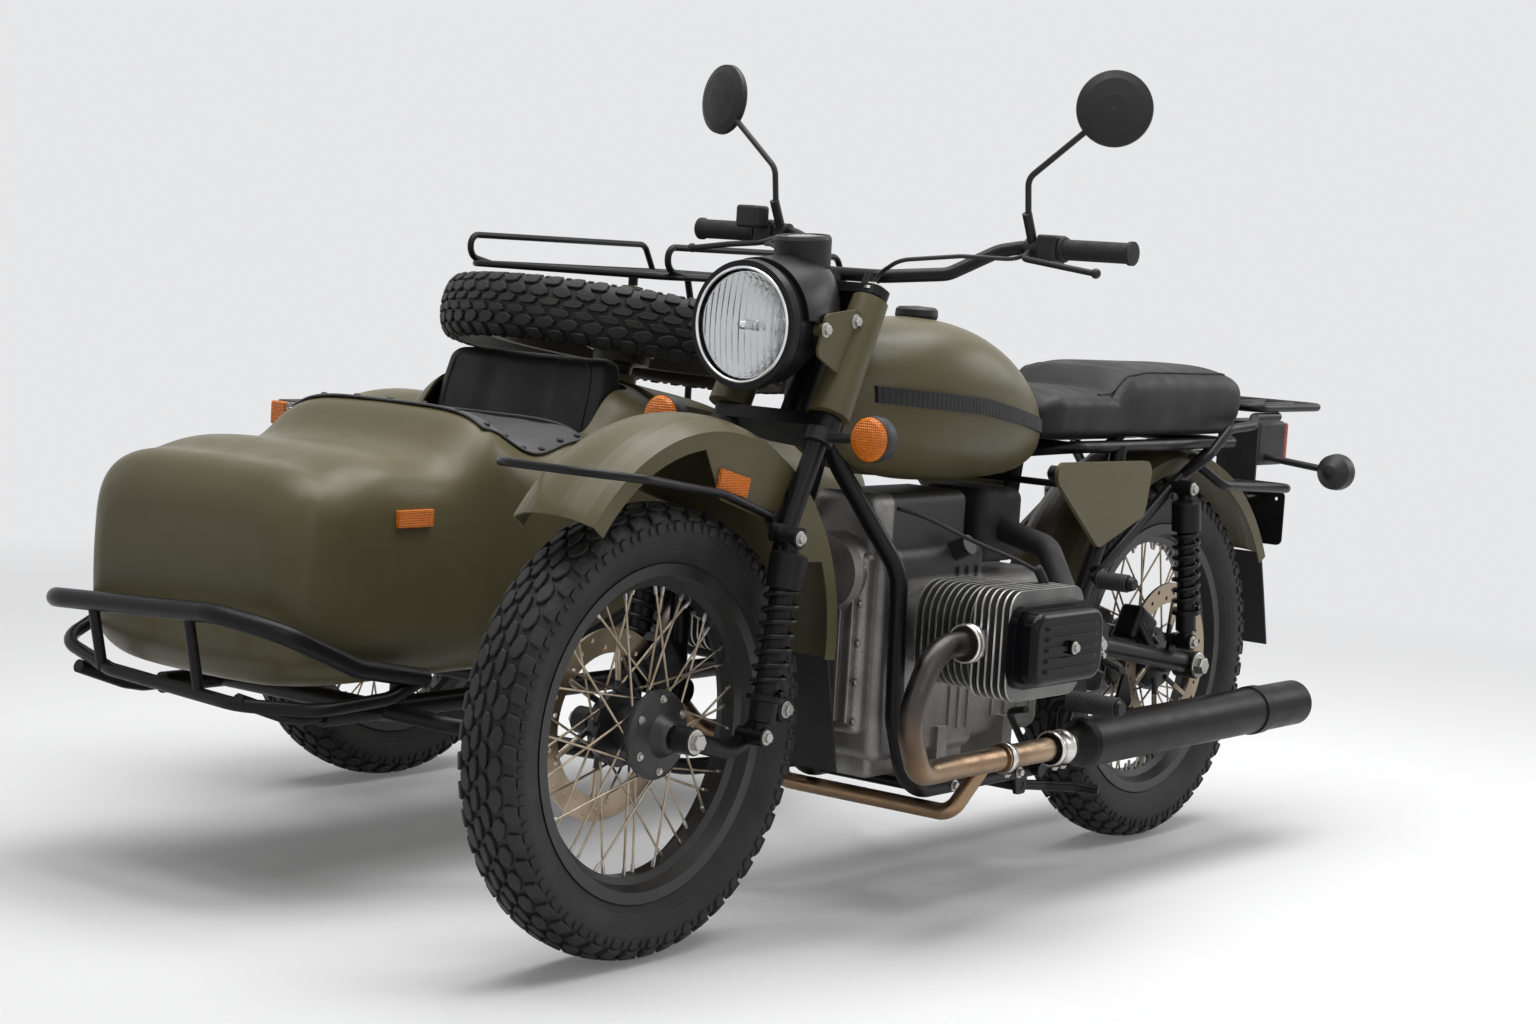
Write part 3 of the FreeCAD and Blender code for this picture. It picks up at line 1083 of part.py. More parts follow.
def sidecar_chassis():
    """Rails, cross tubes, struts to the bike, the wheel arm with its axle, and the damper tower."""
    z = SIDE_RAIL_Z
    pieces = [bar((x, SIDE_RAIL_Y, z), (x, 1120, z), 18) for x in SIDE_RAILS]
    for y in (20, 430, 1050):
        pieces.append(bar((-940, y, z), (-560, y, z), 16))
    pieces.append(bar((-940, 430, z), (SIDE_X + 118, 430, z), 18))
    arm = [(SIDE_X + 118, 430, z), (SIDE_X + 118, 640, 320), (SIDE_X + 112, SIDE_Y, TYRE_R)]
    pieces.append(tube(arm, 17, 60))
    pieces.append(bar((SIDE_X + 98, SIDE_Y, TYRE_R), (SIDE_X + 126, SIDE_Y, TYRE_R), 26))
    pieces.append(bar((SIDE_X - HUB_HALF - 8, SIDE_Y, TYRE_R), (SIDE_X + 112, SIDE_Y, TYRE_R), AXLE_R))
    pieces.append(bar((SIDE_X - HUB_HALF - 12, SIDE_Y, TYRE_R), (SIDE_X - HUB_HALF - 1, SIDE_Y, TYRE_R), 15))
    pieces.append(brake_caliper(SIDE_X + DISC_X, (SIDE_Y, TYRE_R), 160, 66))
    a = math.radians(160)
    at = (SIDE_Y + (DISC_R + 6) * math.cos(a), TYRE_R + (DISC_R + 6) * math.sin(a))
    pieces.append(bar((SIDE_X + DISC_X + 16, at[0], at[1]), (SIDE_X + 118, at[0] + 10, 312), 10))
    tower = tube([(-940, 560, z), (-1048, 560, z), (-1050, 575, 420), (-1050, 590, 650)], 14, 50)
    pieces.append(tower)
    pieces.append(bar((-1050, 590, 640), (SIDE_SHOCK_X + EYE_HALF + SEAT, 590, 640), 10))
    pieces.append(bar((SIDE_X + 116, 660, 324), (SIDE_X + 116, 660, SIDE_SHOCK_Z + 4), 12))
    pieces.append(bar((SIDE_X + 118, 660, SIDE_SHOCK_Z),
                      (SIDE_SHOCK_X - EYE_HALF - SEAT, 660, SIDE_SHOCK_Z), 10))
    top, low = [(-x, y, z) for x, y, z in DOWN_TUBE[:2]]
    mount = tuple(a + (b - a) * 0.4 for a, b in zip(top, low))
    pieces.append(bar((-560, 300, z), mount, 11).cut(bar(top, low, TUBE_R + SEAT)))
    plate = -(ARM_X + ARM_R + 1 + SEAT + PLATE_T) - SEAT
    pieces.append(bar((-560, 1000, z), (plate + 8, 1076, 440), 11).cut(block(plate, 0, 1000, 1200, 300, 600)))
    cradle = -(CRADLE_X + TUBE_R + SEAT)
    low_front = tube([(-560, 20, z), (-440, 60, 280), (-240, 420, 205), (-CRADLE_X, 551, 226)], 14, 70)
    a, b = (-CRADLE_X, 512, 330), (-CRADLE_X, 560, RAIL_Z)
    pieces.append(low_front.cut(tube([a, b, (-CRADLE_X, 700, RAIL_Z)], TUBE_R + SEAT, 90)))
    pieces.append(tube([(-560, 1050, z), (-390, 1050, 198), (-150, 915, RAIL_Z - 8),
                        (cradle, 900, RAIL_Z - 8)], 14, 50)
                  .cut(bar((-CRADLE_X, 700, RAIL_Z), (-CRADLE_X, 1000, RAIL_Z), TUBE_R + SEAT)))
    room = hull(SEAT)
    for x in SIDE_RAILS:
        for y in (60, 1000):
            pieces.append(bar((x, y, z), (x, y, FLOOR_Z + 40), 14).cut(room))
    add("sidecar_chassis", fuse(*pieces))


def sidecar_bumper():
    """The bent guard tubes round the nose, with their brackets to the rails."""
    upper = tube([(-1046, 60, 372), (-1060, -180, 420), (-1010, -300, 440), (-580, -322, 468),
                  (-478, -280, 450), (-462, -130, 384), (-462, 20, 356)], 16, 90)
    lower = tube([(-1054, -120, 408), (-1010, -262, 366), (-860, -286, 340), (-560, -286, 326),
                  (-470, -200, 322), (-462, -60, 330), (-462, 10, 352)], 11, 70)
    stays = []
    for x in SIDE_RAILS:
        stays.append(tube([(x, SIDE_RAIL_Y - SEAT, SIDE_RAIL_Z), (x, -150, SIDE_RAIL_Z),
                           (x, -190, SIDE_RAIL_Z + 8), (x, -286, 334)], 11, 60))
    for x in (-880, -650):
        stays.append(bar((x, -286, 338), (x, -312, 452), 9))
    add("sidecar_bumper", fuse(upper, lower, *stays))


def sidecar_fender():
    """The fender over the sidecar wheel with its stays to the tower and its lamp shelf."""
    cy, cz, r = SIDE_FENDER
    shell = fender_shell(cy, cz, r, 80, 14, 166)
    shell.translate(V(SIDE_X, 0, 0))
    stays = [tube([(SIDE_X + 70, cy - 110, cz + r - 34), (-1110, 600, 700), (-1050, 592, 664.3)], 8, 30)]
    stays.append(tube([(SIDE_X + 78, cy + 250, cz + 290), (-1100, 960, 560), (-1030, 1000, 300),
                       (-940 - 18 - SEAT, 1000, SIDE_RAIL_Z)], 8, 40))
    add("sidecar_fender", fuse(shell, *stays))


def marker_lamp():
    """Front lamp of the sidecar on the fender: housing, orange and clear lens."""
    x, y, z = SIDE_X + 18, SIDE_Y - 262, 712
    house = softened(block(x - 48, x + 48, y - 40, y + 30, z - 24, z + 24), 7)
    foot = block(x - 20, x + 20, y - 10, y + 26, z - 60, z - 10)
    cy, cz, r = SIDE_FENDER
    shell_room = fender_shell(cy, cz, r + SEAT, 80 + SEAT, 90, 170, 30)
    shell_room.translate(V(SIDE_X, 0, 0))
    add("marker_lamp", fuse(house, foot).cut(shell_room))
    add("orange_lenses", softened(block(x - 46, x - 8, y - 54, y - 40 - SEAT, z - 22, z + 22), 4))
    add("marker_lens_clear", softened(block(x - 6, x + 46, y - 54, y - 40 - SEAT, z - 22, z + 22), 4))


def reflectors():
    """Orange reflectors on the front fender's gussets and the body's side."""
    lens = softened(block(BODY_X + BODY_HALF - 9, BODY_X + BODY_HALF + 6, -40, 38, 598, 626), 2)
    add("orange_lenses", lens.cut(hull(SEAT)))
    for side in (1, -1):
        plate = block(-2.5, 2.5, -36, 36, -15, 15)
        plate.rotate(V(0, 0, 0), X, -14)
        plate.translate(V(side * 80.9, 96, 722))
        add("front_orange_lenses", plate)


fork()
shock("fork_shocks", SHOCK_X, (129, 344), (182, 642), SHOCK_R, 4.2, 7)
fork_covers()
front_fender()
front_guard()
mud_flap("front_mud_flap", [(404, 429.2), (424, 340), (446, 240)], 50, 5)
head_lamp()
handlebar()
hand_controls()
mirrors()
front_signals()
engine()
cylinders()
valve_covers()
intake()
exhaust()
fuel_tank()
dual_seat()
side_covers()
main_frame()
rear_fender()
rear_lamps()
rear_rack()
swing_arm()
shock("rear_shocks", SHOCK2_X, SHOCK2_LOW, SHOCK2_TOP, 27.0, 4.0, 7)
foot_controls()
centre_stand()
sidecar_chassis()
shock("rear_shocks", SIDE_SHOCK_X, (660, SIDE_SHOCK_Z), (590, 640), 27.0, 4.0, 7, False)
sidecar_body()
soft_sidecar()
sidecar_bumper()
sidecar_fender()
marker_lamp()
reflectors()
trunk_lid()
spare()
luggage_rack()
wheel_at("front_tyre", "front_wheel", (0, 0, TYRE_R), -1)
wheel_at("rear_tyre", "rear_wheel", (0, WHEELBASE, TYRE_R), 1)
wheel_at("sidecar_tyre", "sidecar_wheel", (SIDE_X, SIDE_Y, TYRE_R), 1)


def place_all():
    """Moves every sub-part to the finished frame and writes it."""
    os.makedirs("parts", exist_ok=True)
    for name, shapes in sorted(nodes.items()):
        whole = Part.makeCompound(shapes) if len(shapes) > 1 else shapes[0]
        whole = whole.copy()
        whole.translate(V(BIKE_X, BIKE_Y, 0))
        whole.exportStep(os.path.join("parts", name + ".step"))
        print(name, len(whole.Solids), "solids", round(whole.Volume / 1000), "cm3", whole.isValid())


place_all()
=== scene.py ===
import math
import bmesh
import bpy
import numpy as np
from mathutils import Matrix, Vector


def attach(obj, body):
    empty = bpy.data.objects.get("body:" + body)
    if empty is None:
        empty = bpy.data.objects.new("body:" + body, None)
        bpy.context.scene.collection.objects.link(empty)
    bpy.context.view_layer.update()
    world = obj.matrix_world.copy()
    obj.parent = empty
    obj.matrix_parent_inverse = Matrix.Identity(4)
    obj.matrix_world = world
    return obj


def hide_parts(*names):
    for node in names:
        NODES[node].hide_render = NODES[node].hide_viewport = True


# Looks of the sidecar motorcycle. Places are given in millimetres as in the part's source: x from
# the bike's midplane to the rider's left, y rearwards from the front axle, z up from the ground.

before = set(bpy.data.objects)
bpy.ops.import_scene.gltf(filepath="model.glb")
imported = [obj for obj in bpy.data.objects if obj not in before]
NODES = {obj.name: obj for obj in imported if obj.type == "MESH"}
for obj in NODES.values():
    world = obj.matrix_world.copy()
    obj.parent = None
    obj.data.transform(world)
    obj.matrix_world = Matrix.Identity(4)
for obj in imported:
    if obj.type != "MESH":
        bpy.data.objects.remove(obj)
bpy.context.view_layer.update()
SHIFT = np.array((0.4426, -0.7992, 0.0))
RAKE = math.radians(27.0)
STEM_Y, STEM_Z = 340, 800
STEM_AXIS = (0, math.sin(RAKE), math.cos(RAKE))
HEADLAMP = (0, 196, 955)
CYLINDER_Y, CYLINDER_Z = 603, 477
MUFFLER_X, MUFFLER_Z = 205, 262
PORT_X = 263.5
SIDECAR_X = -750
SIDES = ((1, "left"), (-1, "right"))


def at(x, y, z):
    """A place in metres in the finished frame."""
    return np.array((x, y, z), float) / 1000 + SHIFT


def steer_point(along, out=0.0, x=0.0):
    """A place by its distance up the steering axis and out in front of it."""
    return (x, STEM_Y + along * math.sin(RAKE) - out * math.cos(RAKE),
            STEM_Z + along * math.cos(RAKE) + out * math.sin(RAKE))


# Shapes

def linked(name, data):
    """A new object in the scene."""
    made = bpy.data.objects.new(name, data)
    bpy.context.scene.collection.objects.link(made)
    return made


def piece(name, verts, faces, body, material, slot, smooth=True):
    """A mesh from arrays with its faces turned outwards, riding on a body, with one material."""
    mesh = bpy.data.meshes.new(name)
    mesh.from_pydata(verts.tolist(), [], faces.tolist())
    shape = bmesh.new()
    shape.from_mesh(mesh)
    bmesh.ops.recalc_face_normals(shape, faces=shape.faces)
    shape.to_mesh(mesh)
    shape.free()
    mesh.polygons.foreach_set("use_smooth", np.broadcast_to(smooth, len(mesh.polygons)).copy())
    mesh.materials.append(material)
    made = linked(name, mesh)
    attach(made, body)
    return made


def grid_faces(nu, nv, close_u=False, close_v=False):
    """Quads of a grid of nu by nv points; a closed direction joins its last row to its first."""
    i, j = np.meshgrid(np.arange(nu if close_u else nu - 1), np.arange(nv if close_v else nv - 1), indexing="ij")
    a, b = (i + 1) % nu, (j + 1) % nv
    return np.stack([i * nv + j, a * nv + j, a * nv + b, i * nv + b], -1).reshape(-1, 4)


def halves(quads):
    """Each quad as two triangles."""
    return np.concatenate([quads[:, [0, 1, 2]], quads[:, [0, 2, 3]]])


def closed_loft(rings):
    """Rings of points (count, points, 3) joined by pairs of triangles. Where the last ring lies on the first the
    shape closes on itself, and otherwise a fan to its middle closes each end."""
    endless = np.allclose(rings[0], rings[-1], atol=1e-7)
    rings = rings[:-1] if endless else rings
    count, n = rings.shape[:2]
    sides = halves(grid_faces(count, n, endless, True))
    if endless:
        return rings.reshape(-1, 3), sides
    k = np.arange(n)
    nxt, last = (k + 1) % n, (count - 1) * n
    verts = np.concatenate([rings.reshape(-1, 3), rings[0].mean(0)[None], rings[-1].mean(0)[None]])
    return verts, np.concatenate([sides, np.stack([np.full(n, count * n), nxt, k], 1),
                                  np.stack([np.full(n, count * n + 1), last + k, last + nxt], 1)])


def smooth_curve(points, steps=8):
    """Points on a cubic B-spline: each stretch blends four neighbouring control points by cubic weights."""
    p = np.asarray(points, float)
    p = np.concatenate([2 * p[:1] - p[1:2], p, 2 * p[-1:] - p[-2:-1]])
    t = np.linspace(0, 1, steps, endpoint=False)[:, None]
    w = np.stack([(1 - t) ** 3, 3 * t ** 3 - 6 * t ** 2 + 4, -3 * t ** 3 + 3 * t ** 2 + 3 * t + 1, t ** 3], -1) / 6
    stretches = np.stack([p[:-3], p[1:-2], p[2:-1], p[3:]], 1)
    curve = np.einsum("tqk,skd->std", w, stretches).reshape(-1, p.shape[1])
    return np.concatenate([curve, p[-2:-1]])


def circle(n):
    """Angles round a full circle."""
    return np.linspace(0, 2 * np.pi, n, endpoint=False)


def unit(v):
    """Rows of length one."""
    return v / np.linalg.norm(v, axis=1)[:, None]


def beside(way):
    """For each direction an axis that isn't along it: Z, or X where it points up or down."""
    return np.where(np.abs(way[:, 2:3]) > 0.9, np.array([[1.0, 0, 0]]), np.array([[0, 0, 1.0]]))


def pipe_rings(path, radius, around):
    """Circles across a path of points, turned with it."""
    way = unit(np.gradient(path, axis=0))
    a = unit(np.cross(way, beside(way)))
    b = np.cross(way, a)
    turn = circle(around)[:, None]
    return path[:, None] + radius * (a[:, None] * np.cos(turn) + b[:, None] * np.sin(turn))


def joined(parts):
    """Several (verts, faces) as one."""
    starts = np.cumsum([0] + [len(v) for v, _ in parts[:-1]])
    return np.concatenate([v for v, _ in parts]), np.concatenate([f + n for (_, f), n in zip(parts, starts)])


def pipes(name, paths, radius, body, material, slot, around, steps):
    """Round pipes along smooth curves through the given places, as one piece."""
    parts = [closed_loft(pipe_rings(smooth_curve([at(*p) for p in path], steps), radius / 1000, around))
             for path in paths]
    return piece(name, *joined(parts), body, material, slot)


def stack(outline, levels):
    """A closed prism from an outline (n, 2); its levels are (height, scale)."""
    middle = outline.mean(0)
    return closed_loft(np.stack([np.column_stack([(outline - middle) * s + middle, np.full(len(outline), h)])
                                 for h, s in levels]))


def copies(verts, faces, turns, places):
    """The same shape at many places: turns (m, 3, 3) and places (m, 3) act on all its points at once."""
    moved = np.einsum("mij,nj->mni", turns, verts) + places[:, None]
    faces = faces[None] + (np.arange(len(places)) * len(verts))[:, None, None]
    return moved.reshape(-1, 3), faces.reshape(-1, faces.shape[-1])


def turns_to(axes):
    """Rotations that carry +Z to each axis."""
    z = unit(np.asarray(axes, float))
    x = unit(np.cross(beside(z), z))
    return np.stack([x, np.cross(z, x), z], -1)


def polygon(n, radius):
    """Corners of a regular polygon."""
    return radius * np.column_stack([np.cos(circle(n)), np.sin(circle(n))])


def lathe(name, profile, place, axis, body, material, slot, around=64):
    """A turned piece: profile points (along the axis, radius) in mm swept round it."""
    p = np.asarray(profile, float) / 1000
    turn = circle(around)
    rings = np.stack(np.broadcast_arrays(p[:, 1:2] * np.cos(turn), p[:, 1:2] * np.sin(turn), p[:, :1]), -1)
    return piece(name, *closed_loft(rings @ turns_to([axis])[0].T + at(*place)), body, material, slot)


# Shader nodes

class Tree:
    """Short calls for the nodes of one tree."""

    def __init__(self, tree):
        self.tree = tree

    def feed(self, socket, value):
        """Gives a socket a value, or a link where the value is another node's socket."""
        if isinstance(value, bpy.types.NodeSocket):
            self.tree.links.new(value, socket)
        else:
            socket.default_value = value

    def node(self, kind, inputs=None, **settings):
        made = self.tree.nodes.new(kind)
        for key, value in settings.items():
            setattr(made, key, value)
        for key, value in (inputs or {}).items():
            self.feed(made.inputs[key], value)
        return made

    def math(self, operation, a, b=0.0):
        return self.node("ShaderNodeMath", {0: a, 1: b}, operation=operation).outputs[0]

    def span(self, value, low, high, new_low=0.0, new_high=1.0):
        """Carries a value from one span to another, held at its ends."""
        return self.node("ShaderNodeMapRange", {"Value": value, "From Min": low, "From Max": high,
                                                "To Min": new_low, "To Max": new_high}).outputs[0]

    def noise(self, scale, detail=3.0):
        inputs = {"Vector": self.place(), "Scale": scale, "Detail": detail}
        return self.node("ShaderNodeTexNoise", inputs).outputs["Fac"]

    def place(self):
        return self.node("ShaderNodeTexCoord").outputs["Object"]

    def normal(self):
        return self.node("ShaderNodeNewGeometry").outputs["Normal"]

    def places(self, *axes, of=None):
        """Object coordinates, or another vector, along the given axes."""
        apart = self.node("ShaderNodeSeparateXYZ", {0: of or self.place()}).outputs
        return [apart[k] for k in axes]

    def length(self, a, b):
        """The distance that two steps at right angles make."""
        return self.math("SQRT", self.math("ADD", self.math("POWER", a, 2.0), self.math("POWER", b, 2.0)))

    def waves(self, value, pitch):
        """A sine along a value, one wave to each pitch in metres."""
        return self.math("SINE", self.math("MULTIPLY", value, 2 * math.pi / pitch))

    def mix(self, mask, a, b):
        return self.node("ShaderNodeMix", {0: mask, 6: a, 7: b}, data_type="RGBA").outputs[2]


class Group(Tree):
    """A node group whose inputs are numbers, each with its first value."""

    def __init__(self, name, **inputs):
        super().__init__(bpy.data.node_groups.new(name, "ShaderNodeTree"))
        for label, value in inputs.items():
            socket = self.tree.interface.new_socket(label, in_out="INPUT", socket_type="NodeSocketFloat")
            socket.default_value = value
        self.inputs = self.node("NodeGroupInput").outputs

    def give(self, label, kind, value):
        """The finished group, with the value as its only output."""
        self.tree.interface.new_socket(label, in_out="OUTPUT", socket_type=kind)
        self.node("NodeGroupOutput", {label: value})
        return self.tree


def mottle_group():
    """Soft uneven patches: noise carried to a span of values."""
    t = Group("Mottle", Scale=8.0, Low=0.0, High=1.0)
    patch = t.span(t.noise(t.inputs["Scale"], 4.0), 0.3, 0.7, t.inputs["Low"], t.inputs["High"])
    return t.give("Value", "NodeSocketFloat", patch)


def grain_group():
    """A fine grained surface on softened edges: noise as height over the bevelled normal."""
    t = Group("Grain", Scale=300.0, Strength=0.1, Depth=0.0004, Edge=0.0008)
    bevel = t.node("ShaderNodeBevel", {"Radius": t.inputs["Edge"]}, samples=3).outputs[0]
    bump = t.node("ShaderNodeBump", {"Strength": t.inputs["Strength"], "Distance": t.inputs["Depth"],
                                     "Height": t.noise(t.inputs["Scale"], 2.0), "Normal": bevel})
    return t.give("Normal", "NodeSocketVector", bump.outputs[0])


def edge_group():
    """Rubbed edges: where the bevelled normal leaves the true one, broken up by noise."""
    t = Group("Rubbed edges", Width=0.0012, Amount=0.5)
    bevel = t.node("ShaderNodeBevel", {"Radius": t.inputs["Width"]}, samples=3).outputs[0]
    likeness = t.node("ShaderNodeVectorMath", {0: bevel, 1: t.normal()}, operation="DOT_PRODUCT").outputs["Value"]
    worn = t.math("MULTIPLY", t.span(likeness, 0.97, 0.8), t.span(t.noise(90.0, 4.0), 0.45, 0.62))
    return t.give("Mask", "NodeSocketFloat", t.math("MULTIPLY", worn, t.inputs["Amount"]))


def dust_group():
    """Settled dust: stronger on faces that look up, broken up by noise."""
    t = Group("Settled dust", Amount=0.2)
    up, = t.places(2, of=t.normal())
    settled = t.math("MULTIPLY", t.span(up, -0.2, 1.0, 0.25, 1.0), t.span(t.noise(14.0, 6.0), 0.35, 0.75))
    return t.give("Mask", "NodeSocketFloat", t.math("MULTIPLY", settled, t.inputs["Amount"]))


MOTTLE, GRAIN, RUBBED, DUST = mottle_group(), grain_group(), edge_group(), dust_group()


class Finish(Tree):
    """One material: its Principled shader and the nodes that feed it."""

    def __init__(self, name, color, rough, metal=0.0, **shader):
        self.material = bpy.data.materials.new(name)
        self.material.use_nodes = True
        super().__init__(self.material.node_tree)
        self.shader = self.tree.nodes["Principled BSDF"]
        self.color = (*color, 1)
        self.material.diffuse_color = self.color
        self.set("Base Color", self.color)
        self.set("Roughness", rough)
        self.set("Metallic", metal)
        for key, value in shader.items():
            self.set(key.replace("_", " "), value)

    def set(self, socket, value):
        self.feed(self.shader.inputs[socket], value)

    def use(self, group, **values):
        return self.node("ShaderNodeGroup", values, node_tree=group).outputs

    def patches(self, scale, low=0.0, high=1.0):
        return self.use(MOTTLE, Scale=scale, Low=low, High=high)["Value"]

    def grain(self, scale, strength, depth=0.0004, edge=0.0008):
        self.set("Normal", self.use(GRAIN, Scale=scale, Strength=strength, Depth=depth, Edge=edge)["Normal"])

    def bump(self, height, distance, strength=1.0):
        self.set("Normal", self.node("ShaderNodeBump", {"Height": height, "Distance": distance,
                                                        "Strength": strength}).outputs[0])

    def tint(self, mask, color):
        """Lays another colour over what feeds Base Color, by a mask."""
        links = self.shader.inputs["Base Color"].links
        under = links[0].from_socket if links else self.color
        self.set("Base Color", self.mix(mask, under, (*color, 1)))

    def dust(self, amount, color):
        self.tint(self.use(DUST, Amount=amount)["Mask"], color)


def shade(color, k):
    return tuple(c * k for c in color)


def paint(name, color, rough, gloss, dust, wear=None):
    """Paint with faint patches in colour and gloss, fine orange peel and dust on top; wear is how far its edges
    are rubbed and the colour that shows there."""
    f = Finish(name, color, rough, Specular_IOR_Level=gloss)
    f.set("Base Color", f.mix(f.patches(5.0), (*shade(color, 0.9), 1), (*shade(color, 1.1), 1)))
    f.dust(dust, (0.22, 0.20, 0.15))
    if wear:
        amount, under = wear
        f.tint(f.use(RUBBED, Width=0.0012, Amount=amount)["Mask"], under)
    f.set("Roughness", f.patches(22.0, rough - 0.05, rough + 0.07))
    f.grain(420.0, 0.06)
    return f.material


olive = paint("olive satin paint", (0.108, 0.094, 0.047), 0.36, 0.26, 0.045)
black = paint("black satin paint", (0.007, 0.007, 0.008), 0.34, 0.20, 0.015, (0.2, (0.08, 0.08, 0.08)))
gloss_black = paint("black gloss paint", (0.004, 0.004, 0.005), 0.22, 0.16, 0.005, (0.3, (0.12, 0.12, 0.12)))
muffler = paint("black exhaust paint", (0.005, 0.0046, 0.0044), 0.36, 0.12, 0.01, (0.3, (0.10, 0.07, 0.05)))


def cast_metal(name, color, rough):
    """Sand-cast aluminium: coarse and fine grain, dark grime in patches, bright rubbed edges."""
    f = Finish(name, color, rough, 0.75)
    f.set("Base Color", f.mix(f.patches(14.0, high=0.8), (*color, 1), (*shade(color, 0.45), 1)))
    f.tint(f.span(f.noise(190.0, 3.0), 0.5, 0.72), shade(color, 0.7))
    f.tint(f.use(RUBBED, Width=0.0015, Amount=0.8)["Mask"], (0.75, 0.75, 0.76))
    f.grain(520.0, 0.55, 0.0009)
    return f


def case_metal():
    """The crankcase's casting; the part above and behind it, found by height and by place along y, is darkened to
    near black as painted shade under the tank.
    """
    f = cast_metal("sand cast aluminium", (0.33, 0.324, 0.31), 0.5)
    y, z = f.places(1, 2)
    upper = f.math("MULTIPLY", f.span(z, 0.548, 0.556), f.span(y, -0.262, -0.256))
    # Above and behind, the casting is tinted near black: painted shade under the tank.
    f.tint(f.math("MULTIPLY", upper, 0.94), (0.018, 0.018, 0.019))
    f.set("Metallic", f.span(upper, 0, 1, 0.75, 0.1))
    return f.material


def fin_metal(half_y=0.108, half_z=0.088, power=3.4):
    """The cylinders' casting, darker than the case's as painted shade between the fins, with bright rims that are
    partly machined metal and partly a painted highlight: the sum of the powers of y and z over the fins' half
    sizes, which is near one at their edge, and only on faces that don't look along the barrel."""
    # The casting is darker than the case's: painted shade between the fins.
    f = cast_metal("finned cast aluminium", (0.22, 0.218, 0.212), 0.46)
    terms = []
    for place, middle, half in zip(f.places(1, 2), at(0, CYLINDER_Y, CYLINDER_Z)[1:], (half_y, half_z)):
        near = f.math("ABSOLUTE", f.math("DIVIDE", f.math("SUBTRACT", place, float(middle)), half))
        terms.append(f.math("POWER", near, power))
    along, = f.places(0, of=f.normal())
    rim = f.math("MULTIPLY", f.span(f.math("ADD", *terms), 0.80, 0.92), f.span(f.math("ABSOLUTE", along), 0.8, 0.5))
    # The rims are tinted bright: partly machined metal, partly a painted highlight on the fin edges.
    f.tint(rim, (0.86, 0.85, 0.83))
    f.set("Roughness", f.span(rim, 0, 1, 0.46, 0.3))
    return f.material


cast, fins = case_metal(), fin_metal()


def hot_steel():
    """Heat-tinted steel: dark at the head, bronze below and straw at the joint, drifting by patches."""
    f = Finish("heat tinted steel", (0.36, 0.28, 0.20), 0.30, 1.0)
    y, z = f.places(1, 2)
    drift = f.math("MULTIPLY", f.math("SUBTRACT", f.noise(9.0, 3.0), 0.5), 0.10)
    ramp = f.node("ShaderNodeValToRGB", {0: f.span(f.math("ADD", z, drift), 0.23, 0.46)})
    stops = ramp.color_ramp.elements
    stops[0].color, stops[-1].color = (0.30, 0.20, 0.12, 1), (0.06, 0.057, 0.055, 1)
    for position, color in ((0.15, (0.26, 0.17, 0.10, 1)), (0.38, (0.13, 0.09, 0.065, 1)),
                            (0.62, (0.075, 0.066, 0.06, 1))):
        stops.new(position).color = color
    f.set("Base Color", ramp.outputs[0])
    f.tint(f.math("MULTIPLY", f.span(y, -0.06, 0.02), 0.85), (0.42, 0.32, 0.21))
    f.dust(0.25, (0.16, 0.11, 0.08))
    f.set("Roughness", f.patches(30.0, 0.24, 0.46))
    f.grain(500.0, 0.1)
    return f.material


def rubber(name, color, rough, dust=0.25, rib=None):
    """Moulded rubber with a dusty bloom; rib is (axis, pitch in metres, depth)."""
    f = Finish(name, color, rough, Specular_IOR_Level=0.35)
    f.dust(dust, (0.10, 0.095, 0.085))
    f.set("Roughness", f.patches(40.0, rough - 0.08, rough + 0.1))
    if rib:
        axis, pitch, depth = rib
        f.bump(f.span(f.waves(*f.places(axis), pitch), -0.6, 0.2), depth)
    else:
        f.grain(700.0, 0.3, 0.0003)
    return f.material


def vinyl():
    """Grained vinyl: small cells of the grain, faint creases and a soft sheen."""
    f = Finish("grained black vinyl", (0.013, 0.0125, 0.0125), 0.50, Specular_IOR_Level=0.25)
    cells = f.node("ShaderNodeTexVoronoi", {"Vector": f.place(), "Scale": 520.0}).outputs["Distance"]
    crease = f.noise(26.0, 5.0)
    f.bump(f.math("ADD", cells, f.math("MULTIPLY", crease, 1.6)), 0.0006, 0.45)
    f.dust(0.08, (0.10, 0.095, 0.085))
    f.set("Roughness", f.patches(18.0, 0.44, 0.62))
    return f.material


def canvas(thread=0.0016):
    """Coated canvas: crossing threads in both directions, paler on their crowns."""
    f = Finish("woven dark canvas", (0.026, 0.026, 0.028), 0.78, Sheen_Weight=0.35, Sheen_Roughness=0.6)
    weave = f.math("MULTIPLY", *(f.waves(place, thread) for place in f.places(0, 1)))
    f.bump(f.math("ADD", weave, f.math("MULTIPLY", f.noise(30.0, 4.0), 3.0)), 0.0005, 0.5)
    f.set("Base Color", f.mix(f.span(weave, -1, 1), (0.018, 0.018, 0.02, 1), (0.042, 0.042, 0.045, 1)))
    f.dust(0.12, (0.14, 0.135, 0.12))
    return f.material


def plastic():
    """Fine-textured moulded plastic."""
    f = Finish("moulded black plastic", (0.013, 0.013, 0.014), 0.46, Specular_IOR_Level=0.35)
    f.dust(0.05, (0.10, 0.10, 0.09))
    f.set("Roughness", f.patches(30.0, 0.42, 0.58))
    f.grain(1400.0, 0.25, 0.0002)
    return f.material


def chrome(name, color=(0.78, 0.78, 0.80), rough=0.12):
    """Plated steel with faint haze."""
    f = Finish(name, color, rough, 1.0)
    f.set("Roughness", f.patches(60.0, rough, rough + 0.14))
    f.grain(300.0, 0.04)
    return f.material


